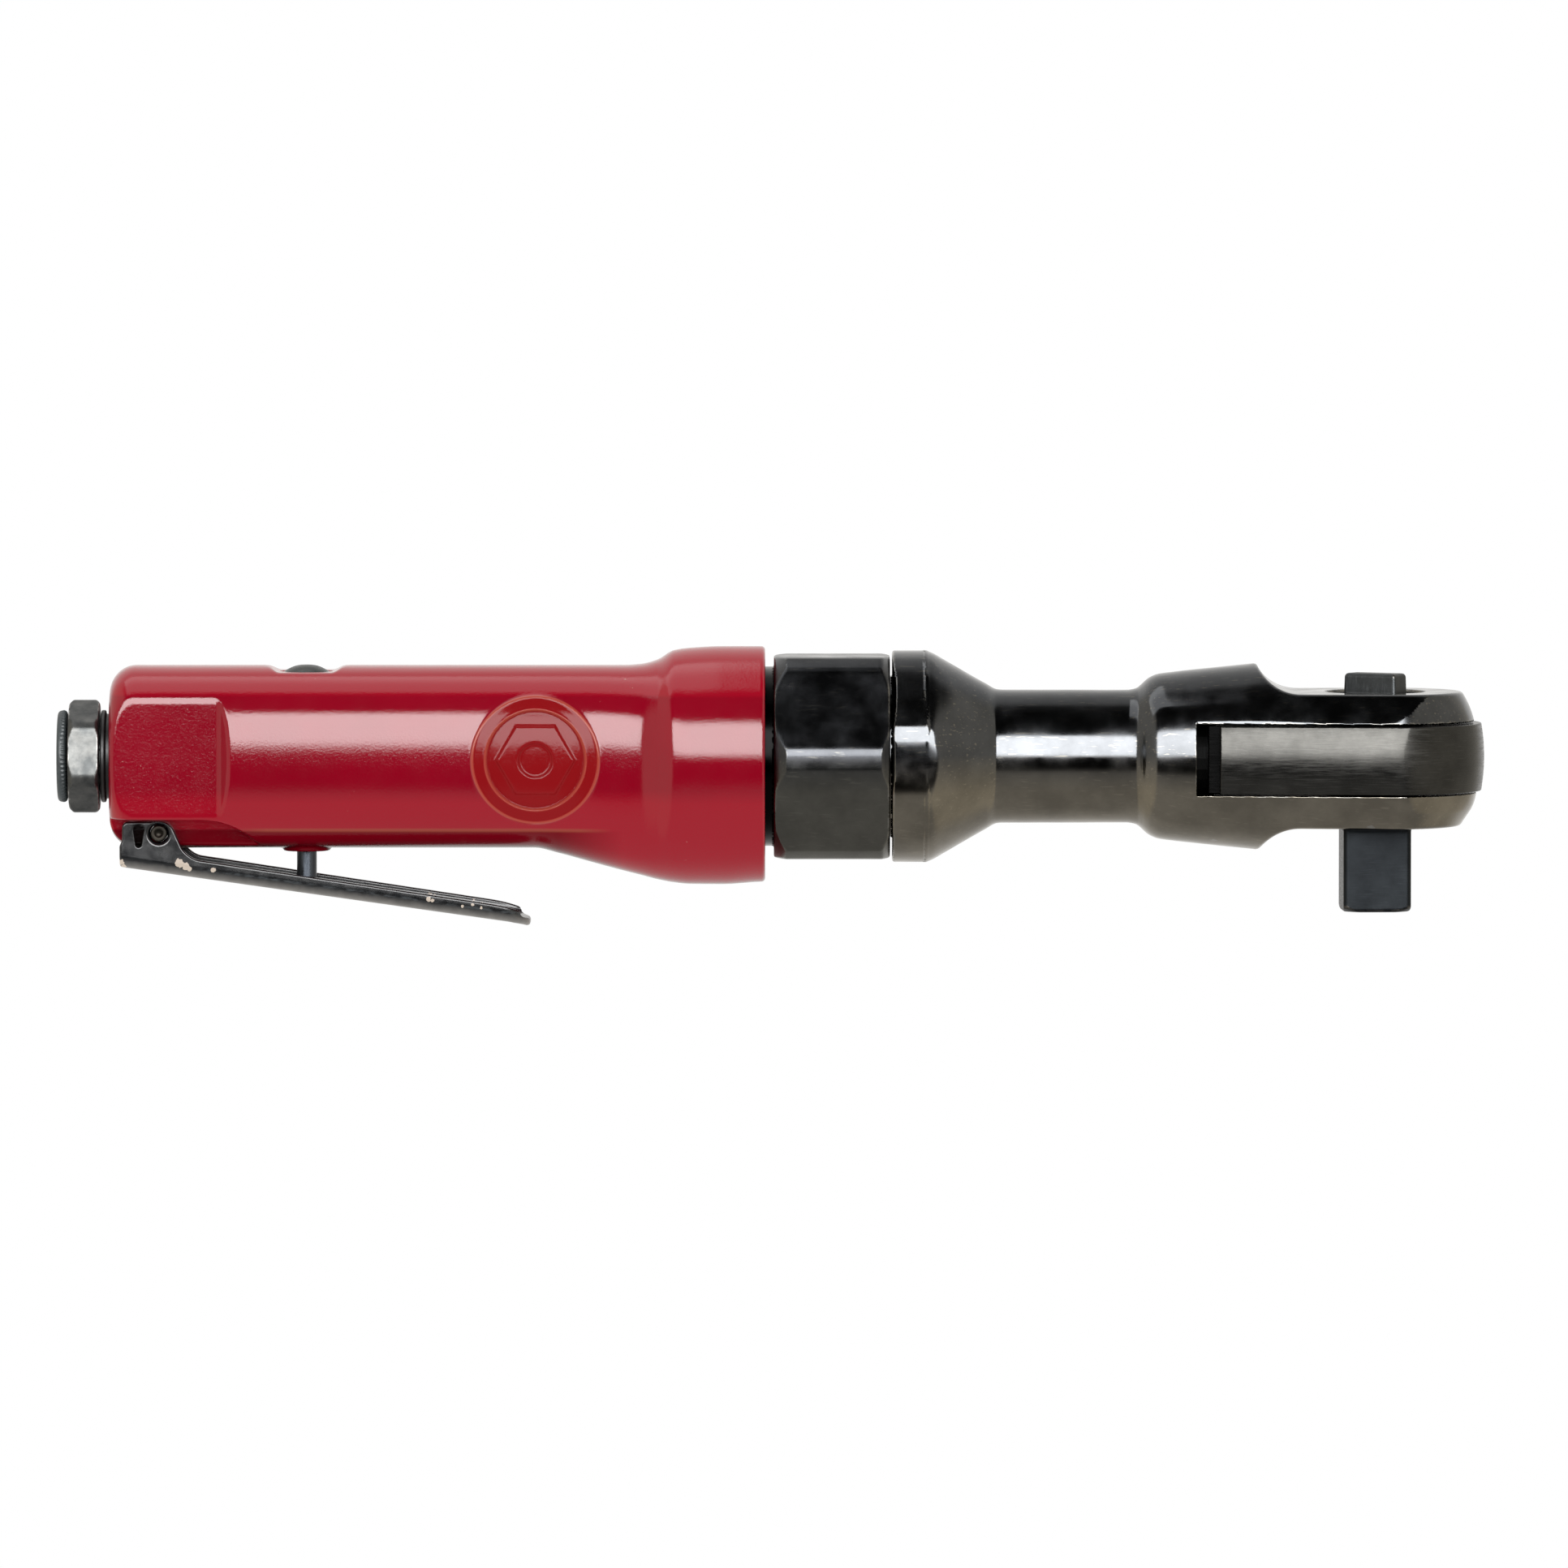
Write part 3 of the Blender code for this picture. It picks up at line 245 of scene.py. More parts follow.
# ---------------------------------------------------------------- shader helpers
class Shader:
    """Builds one procedural material around a Principled shader."""

    def __init__(self, name, colour, roughness, metallic=0.0, **extra):
        self.material = bpy.data.materials.new(name)
        self.material.use_nodes = True
        self.tree = self.material.node_tree
        self.shader = self.tree.nodes["Principled BSDF"]
        self.set("Base Color", (*colour, 1))
        self.set("Roughness", roughness)
        self.set("Metallic", metallic)
        for key, value in extra.items():
            self.set(key.replace("_", " "), value)
        self.place = self.tree.nodes.new("ShaderNodeTexCoord").outputs["Object"]

    def set(self, socket, value):
        self.shader.inputs[socket].default_value = value

    def link(self, source, target):
        self.tree.links.new(source, target)

    def node(self, kind, **values):
        made = self.tree.nodes.new(kind)
        for key, value in values.items():
            if key in made.inputs.keys():
                made.inputs[key].default_value = value
            else:
                setattr(made, key, value)
        return made

    def stretched(self, x, y, z):
        """Object coordinates scaled along each axis, for a grain with a direction."""
        mapping = self.node("ShaderNodeMapping")
        mapping.inputs["Scale"].default_value = (x, y, z)
        self.link(self.place, mapping.inputs["Vector"])
        return mapping.outputs["Vector"]

    def along(self, axis, low, high, start=0.0, end=1.0):
        """A ramp along one axis between two places given in millimetres from the tool axis."""
        split = self.node("ShaderNodeSeparateXYZ")
        self.link(self.place, split.inputs[0])
        lift = AXIS if axis == "Z" else 0
        return self.window(split.outputs[axis], (low + lift) * MM, (high + lift) * MM, start, end)

    def above(self, x, z, slope):
        """Height over a sloping line through a place on the side of the tool, in metres."""
        made = self.node("ShaderNodeVectorMath", operation="DOT_PRODUCT")
        made.inputs[1].default_value = (-slope, 0, 1)
        self.link(self.place, made.inputs[0])
        return self.math("SUBTRACT", made.outputs["Value"], (z + AXIS - slope * x) * MM)

    def away(self, x, z):
        """Distance from a place on the side of the tool, in metres."""
        flat = self.node("ShaderNodeVectorMath", operation="MULTIPLY")
        flat.inputs[1].default_value = (1, 0, 1)
        self.link(self.place, flat.inputs[0])
        reach = self.node("ShaderNodeVectorMath", operation="DISTANCE")
        reach.inputs[1].default_value = (x * MM, 0, (z + AXIS) * MM)
        self.link(flat.outputs[0], reach.inputs[0])
        return reach.outputs["Value"]

    def spot(self, x, z, radius):
        """A ragged patch around a place on the side of the tool."""
        ragged = self.window(self.noise(900, 3, 0.6), 0.3, 0.7, -0.5 * radius * MM, 0.5 * radius * MM)
        total = self.math("ADD", self.away(x, z), ragged)
        return self.window(total, 0.9 * radius * MM, 1.0 * radius * MM, 1.0, 0.0)

    def noise(self, scale, detail=3.0, roughness=0.5, vector=None):
        made = self.node("ShaderNodeTexNoise", Scale=scale, Detail=detail, Roughness=roughness)
        self.link(vector or self.place, made.inputs["Vector"])
        return made.outputs["Fac"]

    def window(self, value, low, high, start=0.0, end=1.0):
        """Value from low to high, mapped to start to end and held outside it."""
        made = self.node("ShaderNodeMapRange")
        made.inputs["From Min"].default_value = low
        made.inputs["From Max"].default_value = high
        made.inputs["To Min"].default_value = start
        made.inputs["To Max"].default_value = end
        self.link(value, made.inputs["Value"])
        return made.outputs["Result"]

    def math(self, operation, a, b):
        made = self.node("ShaderNodeMath", operation=operation)
        for socket, value in zip(made.inputs, (a, b)):
            if isinstance(value, (int, float)):
                socket.default_value = value
            else:
                self.link(value, socket)
        return made.outputs["Value"]

    def mix(self, factor, first, second):
        made = self.node("ShaderNodeMix", data_type="RGBA")
        for socket, value in zip((made.inputs[6], made.inputs[7]), (first, second)):
            if isinstance(value, tuple):
                socket.default_value = (*value, 1)
            else:
                self.link(value, socket)
        self.link(factor, made.inputs[0])
        return made.outputs[2]

    def bump(self, height, distance, strength=1.0, after=None):
        made = self.node("ShaderNodeBump", Distance=distance, Strength=strength)
        self.link(height, made.inputs["Height"])
        if after is not None:
            self.link(after, made.inputs["Normal"])
        return made.outputs["Normal"]

    def edges(self, low=0.52, high=0.56):
        """High on convex edges, where handling rubs the finish."""
        geometry = self.node("ShaderNodeNewGeometry")
        return self.window(geometry.outputs["Pointiness"], low, high)

    def finish(self, colour, roughness, normal):
        for socket, source in (("Base Color", colour), ("Roughness", roughness), ("Normal", normal)):
            self.link(source, self.shader.inputs[socket])
        return self.material


def red_paint():
    s = Shader("red_paint", (0.31, 0.0012, 0.014), 0.09, IOR=1.5)
    shade = s.window(s.noise(60, 4), 0.35, 0.65)
    colour = s.mix(shade, (0.295, 0.0010, 0.0130), (0.325, 0.0016, 0.0155))
    # painted light: the lower side, below z -5.5, and the top band, above z 11.6, are a lighter red, for the
    # floor's bounce and the overhead light
    lit = s.math("MAXIMUM", s.along("Z", -8.0, -5.5, 1.0, 0.0), s.along("Z", 11.6, 12.2))
    colour = s.mix(lit, colour, (0.385, 0.0020, 0.0160))
    badge = s.window(s.away(*EMBLEM), 11.6 * MM, 12.0 * MM, 1.0, 0.0)
    colour = s.mix(badge, colour, (0.30, 0.007, 0.010))
    # painted highlight: each of the medallion's two rims gets a thin lighter line
    for radius in (11.75, 9.3):
        rim = s.math("SUBTRACT", s.away(*EMBLEM), radius * MM)
        line = s.window(s.math("ABSOLUTE", rim, 0), 0.15 * MM, 0.35 * MM, 0.75, 0.0)
        colour = s.mix(line, colour, (0.52, 0.090, 0.060))
    # painted shade: the barrel's underside near the lever, below z -13.1 and rearward of x -140, is painted
    # darker, and its reflections are made weaker below
    below = s.math("MULTIPLY", s.along("Z", -13.5, -13.1, 1.0, 0.0), s.along("X", -152.0, -140.0, 1.0, 0.0))
    colour = s.mix(below, colour, (0.19, 0.0008, 0.0075))
    # painted highlight: a thin warm line at z -13.2 along the belly's lower edge, between x -212 and x -142
    painted_highlight_line = s.math("ABSOLUTE", s.math("SUBTRACT", s.along("Z", -14.2, -12.2), 0.5), 0)
    painted_highlight_line = s.math("MULTIPLY", s.window(painted_highlight_line, 0.08, 0.25, 0.5, 0.0), s.along("X", -212.0, -206.0))
    painted_highlight_line = s.math("MULTIPLY", painted_highlight_line, s.along("X", -148.0, -142.0, 1.0, 0.0))
    colour = s.mix(painted_highlight_line, colour, (0.36, 0.085, 0.040))
    # painted shade: the tongue seen through the lever's slot, around x -230, z -14.6, is made near black
    painted_shade_behind_slot = s.window(s.away(-230.0, -14.6), 2.2 * MM, 2.6 * MM, 1.0, 0.0)
    colour = s.mix(painted_shade_behind_slot, colour, (0.01, 0.004, 0.004))
    speck = s.window(s.noise(1500, 2, 0.6), 0.72, 0.76)
    sparse = s.window(s.noise(90, 2), 0.60, 0.68)
    colour = s.mix(s.math("MULTIPLY", speck, sparse), colour, (0.62, 0.33, 0.28))
    peel = s.noise(2300, 3, 0.55)
    grain = s.noise(6000, 2, 0.6)
    normal = s.bump(grain, 0.0000070, 1.0, s.bump(peel, 0.0000190))
    rough = s.window(s.noise(300, 3), 0.3, 0.7, 0.07, 0.11)
    dull = s.math("MAXIMUM", badge, below)
    s.link(s.window(dull, 0, 1, 0.5, 0.16), s.shader.inputs["Specular IOR Level"])
    return s.finish(colour, rough, normal)


def black_oxide(name, colour, shade, roughness, smudge=0.5, painted_shade_behind=None):
    """Oil-blackened steel: a dark metal mirror with smudges and fine tool marks.

    The colour is that of the underside and shade is that of the upper side: painted light and shade,
    the underside lighter as if lit from the floor and the upper side darker. Whatever lies rearward
    of the last argument, an x in millimetres, is painted nearly black as shade.
    """
    s = Shader(name, colour, roughness, 1.0)
    # painted light and shade: from z 1 down to z -6 the colour goes from the darker upper-side shade to the
    # lighter underside colour
    lower = s.along("Z", -6.0, 1.0, 1.0, 0.0)
    blotch = s.window(s.noise(110, 5, 0.62), 0.36, 0.68)
    dark = s.mix(lower, *(tuple(c * (1 - smudge * 0.45) for c in tone) for tone in (shade, colour)))
    light = s.mix(lower, *(tuple(c * (1 + smudge * 0.55) for c in tone) for tone in (shade, colour)))
    out = s.mix(blotch, dark, light)
    scuff = s.window(s.noise(1, 2, 0.5, s.stretched(300, 2600, 2600)), 0.63, 0.70, 0.0, 0.35)
    out = s.mix(scuff, out, tuple(c * 1.6 for c in colour))
    worn = s.math("MULTIPLY", s.edges(), s.window(s.noise(420, 3), 0.42, 0.60))
    out = s.mix(worn, out, (0.26, 0.25, 0.23))
    # painted shade: rearward of that x the finish is nearly black
    if painted_shade_behind is not None:
        out = s.mix(s.along("X", painted_shade_behind - 0.1, painted_shade_behind, 1.0, 0.0), out, (0.004, 0.004, 0.004))
    rough = s.window(s.noise(190, 4), 0.3, 0.7, roughness - 0.05, roughness + 0.09)
    marks = s.noise(1, 3, 0.6, s.stretched(3200, 260, 260))
    return s.finish(out, rough, s.bump(marks, 0.0000018))


def brushed(name, colour, roughness, grain, wear=0.0, painted_shade_behind=None):
    """Ground steel whose grain runs along the axis with the smallest number."""
    s = Shader(name, colour, roughness, 1.0)
    lines = s.noise(1, 4, 0.62, s.stretched(*grain))
    cloud = s.window(s.noise(140, 4, 0.6), 0.35, 0.68)
    out = s.mix(cloud, tuple(c * 0.80 for c in colour), tuple(c * 1.22 for c in colour))
    out = s.mix(s.window(lines, 0.56, 0.70, 0.0, 0.5), out, tuple(min(1, c * 1.7) for c in colour))
    if wear:
        rubbed = s.math("MULTIPLY", s.edges(), s.window(s.noise(600, 3), 0.40, 0.55, 0.0, wear))
        out = s.mix(rubbed, out, (0.30, 0.27, 0.23))
    # painted shade: rearward of that x the finish is nearly black
    if painted_shade_behind is not None:
        out = s.mix(s.along("X", painted_shade_behind - 0.1, painted_shade_behind, 1.0, 0.0), out, (0.004, 0.004, 0.004))
    rough = s.window(lines, 0.3, 0.7, roughness - 0.07, roughness + 0.10)
    return s.finish(out, rough, s.bump(lines, 0.000004))


LEVER_BOTTOM = (-230.4, -20.75, -0.1423)    # x, height and slope of the lever's lower edge
LEVER_RIM = (-221.8, -18.5, -0.151)         # the same for the lever's upper rim
CHIPS = [
    # x, height and size of the places where the lever's enamel is knocked off
    (-222.4, -19.5, 0.75), (-221.2, -20.1, 0.65), (-220.5, -20.5, 0.5), (-233.3, -19.3, 0.6),
    (-232.9, -20.2, 0.5), (-216.2, -20.7, 0.4), (-176.2, -26.2, 0.45), (-175.4, -26.4, 0.35),
    (-169.9, -27.5, 0.35), (-168.0, -27.2, 0.25), (-166.4, -27.9, 0.3),
]


def lever_paint():
    """Black enamel on pressed steel, rubbed along the lower bend and chipped, with a painted reflection of the
    floor as grey along the lower edge.
    """
    s = Shader("lever_paint", (0.010, 0.011, 0.013), 0.22, IOR=1.55)
    colour = s.mix(s.window(s.noise(200, 4), 0.35, 0.7), (0.006, 0.007, 0.009), (0.013, 0.015, 0.018))
    height = s.above(*LEVER_BOTTOM)
    # painted reflection: within 1.7 mm of the lower edge the enamel turns pale grey, for the floor mirrored in the
    # bend
    painted_floor_reflection = s.window(s.math("ADD", height, s.window(s.noise(500, 3), 0.3, 0.7, -0.15 * MM, 0.15 * MM)),
                    0.0, 1.7 * MM, 0.9, 0.0)
    colour = s.mix(painted_floor_reflection, colour, (0.30, 0.285, 0.265))
    bend = s.math("ABSOLUTE", s.math("SUBTRACT", height, 1.85 * MM), 0)
    ragged = s.window(s.noise(1, 3, 0.6, s.stretched(500, 1500, 1500)), 0.40, 0.60)
    worn = s.math("MULTIPLY", s.window(bend, 0.10 * MM, 0.40 * MM, 0.5, 0.0), ragged)
    worn = s.math("MULTIPLY", worn, s.along("X", -220.0, -216.0))
    colour = s.mix(worn, colour, (0.10, 0.115, 0.125))
    chips = s.math("MULTIPLY", s.edges(0.54, 0.57), s.window(s.noise(330, 4, 0.6), 0.64, 0.67))
    for x, z, radius in CHIPS:
        chips = s.math("MAXIMUM", chips, s.spot(x, z, radius))
    colour = s.mix(chips, colour, (0.70, 0.60, 0.50))
    rough = s.window(s.noise(500, 3), 0.3, 0.7, 0.17, 0.28)
    return s.finish(colour, rough, s.bump(s.noise(900, 2), 0.0000015))


def plated(name="plated_steel"):
    """Dull zinc plate with rubbed edges and grime."""
    s = Shader(name, (0.13, 0.13, 0.126), 0.40, 1.0)
    grime = s.window(s.noise(260, 5, 0.65), 0.38, 0.66)
    out = s.mix(grime, (0.065, 0.068, 0.068), (0.135, 0.135, 0.13))
    worn = s.math("MULTIPLY", s.edges(), s.window(s.noise(500, 3), 0.40, 0.56))
    out = s.mix(worn, out, (0.55, 0.54, 0.52))
    rough = s.window(s.noise(420, 4), 0.3, 0.7, 0.36, 0.50)
    return s.finish(out, rough, s.bump(s.noise(1800, 3), 0.000006))


def moulded(name, colour, roughness, depth=0.00001):
    """Moulded plastic or rubber with a fine matt grain."""
    s = Shader(name, colour, roughness)
    out = s.mix(s.window(s.noise(240, 4), 0.35, 0.68), tuple(c * 0.8 for c in colour),
                tuple(c * 1.25 for c in colour))
    rough = s.window(s.noise(900, 3), 0.3, 0.7, roughness - 0.06, roughness + 0.08)
    return s.finish(out, rough, s.bump(s.noise(3000, 3), depth))


def machined(name, colour, roughness):
    """Turned metal with rings of fine tool marks across the tool axis."""
    s = Shader(name, colour, roughness, 1.0)
    marks = s.noise(1, 3, 0.6, s.stretched(4200, 300, 300))
    out = s.mix(s.window(s.noise(200, 4), 0.35, 0.68), tuple(c * 0.85 for c in colour),
                tuple(min(1, c * 1.15) for c in colour))
    rough = s.window(marks, 0.3, 0.7, roughness - 0.06, roughness + 0.08)
    return s.finish(out, rough, s.bump(marks, 0.000004))


# ---------------------------------------------------------------- the red motor housing
HOUSING_LOW, HOUSING_HIGH = extent("motor_housing")
REAR = HOUSING_LOW[0]
FRONT = HOUSING_HIGH[0]
COLLAR = HOUSING_HIGH[1]
VALVE_X = middle("valve_stem")[0]
CAP = extent("valve_cap")[1][0] - VALVE_X
EMBLEM = (-156.2, 0.0)        # x and height of the medallion's centre
PIN = joint_place("lever_press")

# x from the front face, top, bottom, half-width, squareness of the section
SWELL = [
    (-60.0, 17.0, 17.0, 15.4, 2.5), (-43.0, 17.0, 17.0, 15.4, 2.5), (-38.4, 17.0, 18.0, 15.4, 2.5),
    (-32.2, 17.0, 19.7, 15.5, 2.5), (-26.1, 17.0, 21.35, 15.9, 2.45), (-23.1, 17.2, 22.1, 16.5, 2.4),
    (-20.1, 18.0, 22.9, 17.9, 2.25), (-17.0, 19.75, 23.5, 19.7, 2.1), (-14.0, 20.2, 23.8, 20.25, 2.0),
    (-8.0, COLLAR, 23.85, COLLAR, 2.0), (0.0, COLLAR, 23.4, COLLAR, 2.0), (10.0, COLLAR, 23.4, COLLAR, 2.0),
]


def emblem_relief(x, z):
    """Generic cast medallion: a flat band, a sunk disc and the outline of a hex nut."""
    u, v = x - EMBLEM[0], z - EMBLEM[1]
    away = np.sqrt(u * u + v * v)
    soft = 0.22

    def step(distance):
        return 1 / (1 + np.exp(np.clip(distance / (soft / 2), -30, 30)))

    band = step(away - 11.9) - step(away - 9.25)
    lip = np.exp(-((away - 11.75) / 0.3) ** 2) + np.exp(-((away - 9.35) / 0.3) ** 2)
    hexagon = np.maximum(np.abs(v), np.abs(v) / 2 + np.abs(u) * cos(pi / 6))
    nut = step(hexagon - 6.3) - step(away - 3.1)
    floor = step(away - 9.2)
    return 0.16 * band + 0.12 * lip - 0.50 * floor + 0.50 * nut


def housing_field(x, y, z):
    ahead = x - FRONT
    stations = [row[0] for row in SWELL]
    top, bottom, width, power = (through(ahead, stations, [row[k] for row in SWELL]) for k in range(1, 5))
    height = np.where(z > 0, top, bottom)
    across = np.maximum(np.abs(y) / width, 1e-6)
    up = np.maximum(np.abs(z) / height, 1e-6)
    ratio = (across ** power + up ** power) ** (1 / power)
    slope_y = (across / ratio) ** (power - 1) / width
    slope_z = (up / ratio) ** (power - 1) / height
    body = (ratio - 1) / np.sqrt(slope_y ** 2 + slope_z ** 2)
    near = (np.abs(y) > 8) & (np.abs(x - EMBLEM[0]) < 14)
    body = body - np.where(near, emblem_relief(x, z), 0)
    body = meet(body, REAR - x, 4.9)
    body = meet(body, ahead, 0.7)

    boss = meet(disc(x - VALVE_X, y, 4.4), between(z, -17.6, -13), 0.35)
    body = join(body, boss, 0.5)

    side = np.abs(y) - 12.9
    wall = (side * 0.784 - (x + 215.0)) / 1.271
    body = meet(body, join(side, wall, 0.7), 0.55)

    run_out, radius = -218.5, 14.0
    ceiling = np.where(x < run_out, z + 11.25, disc(x - run_out, z + 11.25 + radius, radius))
    recess = meet(6.6 - np.abs(y), ceiling, 0.0)
    body = carve(body, recess, 0.45)

    around = np.sqrt(y * y + z * z)
    bore = np.maximum(x + 232.5, around - 9.4)
    bore = np.minimum(bore, np.maximum(x + 222.0, around - 6.6))
    bore = np.minimum(bore, np.maximum(x + 178.0, around - 3.8))
    bore = np.minimum(bore, np.maximum(-178.6 - x, around - 13.4))
    bore = np.minimum(bore, np.maximum(-130.6 - x, around - 17.0))
    body = carve(body, bore, 0.25)

    from_valve = np.sqrt((x - VALVE_X) ** 2 + y * y)
    from_saddle = np.abs(x - VALVE_X)
    ramp = np.clip((from_saddle - 4.8) / 2.8, 0, 1)
    seat = 15.9 + 1.2 * ramp * ramp * (3 - 2 * ramp) + np.maximum(from_saddle - 7.6, 0)
    body = meet(body, (z - seat) * 0.85, 0.25)
    valve = np.maximum(from_valve - 4.3, -6.0 - z)
    valve = np.minimum(valve, np.maximum(from_valve - CAP - 0.25, 8.0 - z))
    valve = np.minimum(valve, np.maximum(from_valve - 3.2, z + 6.0))
    body = carve(body, valve, 0.1)
    pin_x, _, pin_z = PIN
    return np.maximum(body, 1.65 - np.sqrt((x - pin_x) ** 2 + (z - pin_z) ** 2))


def motor_housing():
    def in_emblem(points):
        away = np.hypot(points[:, 0] - EMBLEM[0], points[:, 2] - EMBLEM[1])
        return (away < 12.6) & (np.abs(points[:, 1]) > 9)

    shell = sculpt("motor_housing_shell", housing_field, HOUSING_LOW, HOUSING_HIGH, COARSE, refine=in_emblem)
    show(shell, "housing", "motor_housing", red_paint())


def show(obj, body, node, material):
    obj.data.materials.append(material)
    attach(obj, body)
    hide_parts(node)


# ---------------------------------------------------------------- throttle lever
def lever_field(x, y, z):
    start, height, slope = LEVER_BOTTOM
    curl = 0.02 * np.maximum(x + 162.0, 0) ** 2
    under = (height + (x - start) * slope - curl - z) * 0.99
    half = 8.4 - 0.0142 * np.maximum(x + 221.8, 0)
    outside = meet(np.abs(y) - half, under, 2.3)
    outside = meet(outside, -233.6 - x, 0.5)
    outside = meet(outside, x + 157.3, 0.8)
    outside = meet(outside, (x + 157.3 + np.abs(y) - half + 3.2) / 1.414, 1.5)
    inside = meet(np.abs(y) - half + 1.5, under + 1.5, 0.9)
    shell = carve(outside, inside, 0.3)
    nose = 0.016 * np.maximum(x + 165.0, 0) ** 2
    rim_start, rim_height, rim_slope = LEVER_RIM
    arm = (z - rim_height - (x - rim_start) * rim_slope + nose) * 0.99
    front = (x + 224.2) * 0.913 + (z + 11.8) * 0.409
    ear = meet(meet(z + 11.8, -233.1 - x, 1.1), front, 1.6)
    shell = meet(shell, join(ear, arm, 2.0), 0.38)
    down = np.clip((-13.3 - z) / 2.7, 0, 1)
    slot = disc(x + 230.0 + 0.05 * down, z + 13.3 + 2.7 * down, 1.0 - 0.45 * down)
    shell = carve(shell, slot, 0.25)
    hole = disc(x - PIN[0], z - PIN[2], 1.75)
    sink = hole - 0.45 + (8.4 - np.abs(y))
    return carve(carve(shell, hole, 0.0), sink * 0.7, 0.15)


def throttle_lever():
    """The mesh's layers follow the slope of the rim and lie half a step off it."""
    step = 0.24
    low, high = extent("throttle_lever")
    low, high = low - 0.3, high + 0.3
    start, height, slope = LEVER_RIM
    low[2] = height + (low[0] - start) * slope - 16.13 * step
    high[2] += 10 * step

    def by_rim(points):
        return points[:, 2] - height - (points[:, 0] - start) * slope > -0.75

    lever = sculpt("throttle_lever_pressing", lever_field, low, high, step, refine=by_rim, slant=slope)
    show(lever, "lever", "throttle_lever", lever_paint())


# ---------------------------------------------------------------- turned and hexagonal pieces
def hexagon_flats(u, v, across, turn_degrees):
    """Distances to a hexagon's six flats; the first one's normal is turned from +Y towards +Z."""
    angles = [radians(turn_degrees + 60 * k) for k in range(6)]
    return [u * cos(angle) + v * sin(angle) - across / 2 for angle in angles]


def hex_coupling():
    low, high = extent("hex_coupling")
    left, right = -112.0, high[0]
    across = high[2] - low[2]

    def field(x, y, z):
        around = np.sqrt(y * y + z * z)
        rounds = np.maximum(around - 20.6, (around - 18.9 - (x - left) * 0.74) * 0.8)
        rounds = meet(rounds, (around - 19.1 - (right - x) * 1.0) * 0.71, 0.3)
        body = meet(rounds, between(x, left, right), 0.3)
        for flat in hexagon_flats(y, z, across, 30):
            body = meet(body, flat, 0.35)
        thread = meet(around - 16.7, between(x, low[0], left + 2), 0.4)
        body = np.minimum(body, thread)
        return carve(body, around - 15.3, 0.2)

    coupling = sculpt("hex_coupling_body", field, low, high, COARSE)
    # painted light and shade: a lighter underside and a darker upper side, and near black over the thread rearward
    # of the hex, as painted shade
    finish = black_oxide("coupling_black", (0.105, 0.102, 0.090), (0.050, 0.052, 0.056), 0.20, 0.35, left)
    show(coupling, "housing", "hex_coupling", finish)


def inlet_bushing():
    low, high = extent("inlet_bushing")
    left, right = low[0], -237.5

    def field(x, y, z):
        around = np.sqrt(y * y + z * z)
        body = meet(around - 10.5, between(x, left, right), 0.2)
        body = meet(body, (around - 9.7 - (x - left)) * 0.71, 0.2)
        body = meet(body, (around - 9.9 - (right - x)) * 0.71, 0.2)
        for flat in hexagon_flats(y, z, 19.05, 180 - 36.8 + 30):
            body = meet(body, flat, 0.22)
        body = np.minimum(body, meet(around - 6.3, between(x, right - 1, high[0]), 0.3))
        return carve(body, around - 4.5, 0.3)

    bushing = sculpt("inlet_bushing_body", field, low, high, 0.22)
    show(bushing, "housing", "inlet_bushing", plated())


def inlet_plug():
    low, high = extent("inlet_plug")

    def field(x, y, z):
        around = np.sqrt(y * y + z * z)
        angle = np.arctan2(z, y)
        ribs = 0.10 * np.cos(angle * 64) * np.clip((x - low[0] - 0.7) / 0.4, 0, 1)
        rim = meet(around - high[1] + 0.05 - ribs * (around > 6), between(x, low[0], low[0] + 1.8), 0.75)
        stem = meet(around - 4.2, between(x, low[0] + 1, high[0]), 0.5)
        body = join(rim, stem, 0.3)
        return carve(body, np.maximum(around - 2.8, low[0] + 2.3 - x), 0.1)

    plug = sculpt("inlet_plug_moulding", field, low, high, 0.2)
    finish = moulded("plug_plastic", (0.048, 0.060, 0.064), 0.45)
    show(plug, "plug", "inlet_plug", finish)


def exhaust_deflector():
    low, high = extent("exhaust_deflector")

    def field(x, y, z):
        around = np.sqrt(y * y + z * z)
        lip = meet(around - 8.6, between(x, low[0], low[0] + 0.9), 0.3)
        body = join(lip, meet(around - 7.9, between(x, low[0], high[0]), 0.25), 0.15)
        return carve(body, around - 6.6, 0.2)

    ring = sculpt("exhaust_deflector_ring", field, low, high, 0.22)
    finish = moulded("deflector_rubber", (0.010, 0.010, 0.010), 0.42)
    show(ring, "housing", "exhaust_deflector", finish)


def valve_cap():
    low, high = extent("valve_cap")

    def field(x, y, z):
        around = np.sqrt((x - VALVE_X) ** 2 + y * y)
        dome = np.sqrt(around ** 2 + (z - high[2] + 7.2) ** 2) - 7.2
        body = meet(around - CAP, between(z, low[2], high[2]), 0.2)
        body = meet(body, dome, 0.3)
        groove = meet(CAP - 0.9 - around, between(z, 10.0, 11.4), 0.0)
        slot = np.maximum(np.abs(y) - 0.5, np.maximum(high[2] - 0.75 - z, np.abs(x - VALVE_X) - 3.0))
        return carve(carve(body, groove, 0.1), slot, 0.15)

    cap = sculpt("valve_cap_screw", field, low, high, 0.16)
    finish = moulded("cap_black", (0.016, 0.020, 0.018), 0.30, 0.000005)
    show(cap, "housing", "valve_cap", finish)


def valve_stem():
    low, high = extent("valve_stem")

    def field(x, y, z):
        around = np.sqrt((x - VALVE_X) ** 2 + y * y)
        body = meet(around - 1.85, between(z, low[2], -11.0), 0.45)
        return join(body, meet(around - 1.2, between(z, -12.0, high[2]), 0.2), 0.1)

    stem = sculpt("valve_stem_pin", field, low, high, 0.14)
    finish = machined("stem_steel", (0.075, 0.085, 0.10), 0.32)
    show(stem, "valve", "valve_stem", finish)


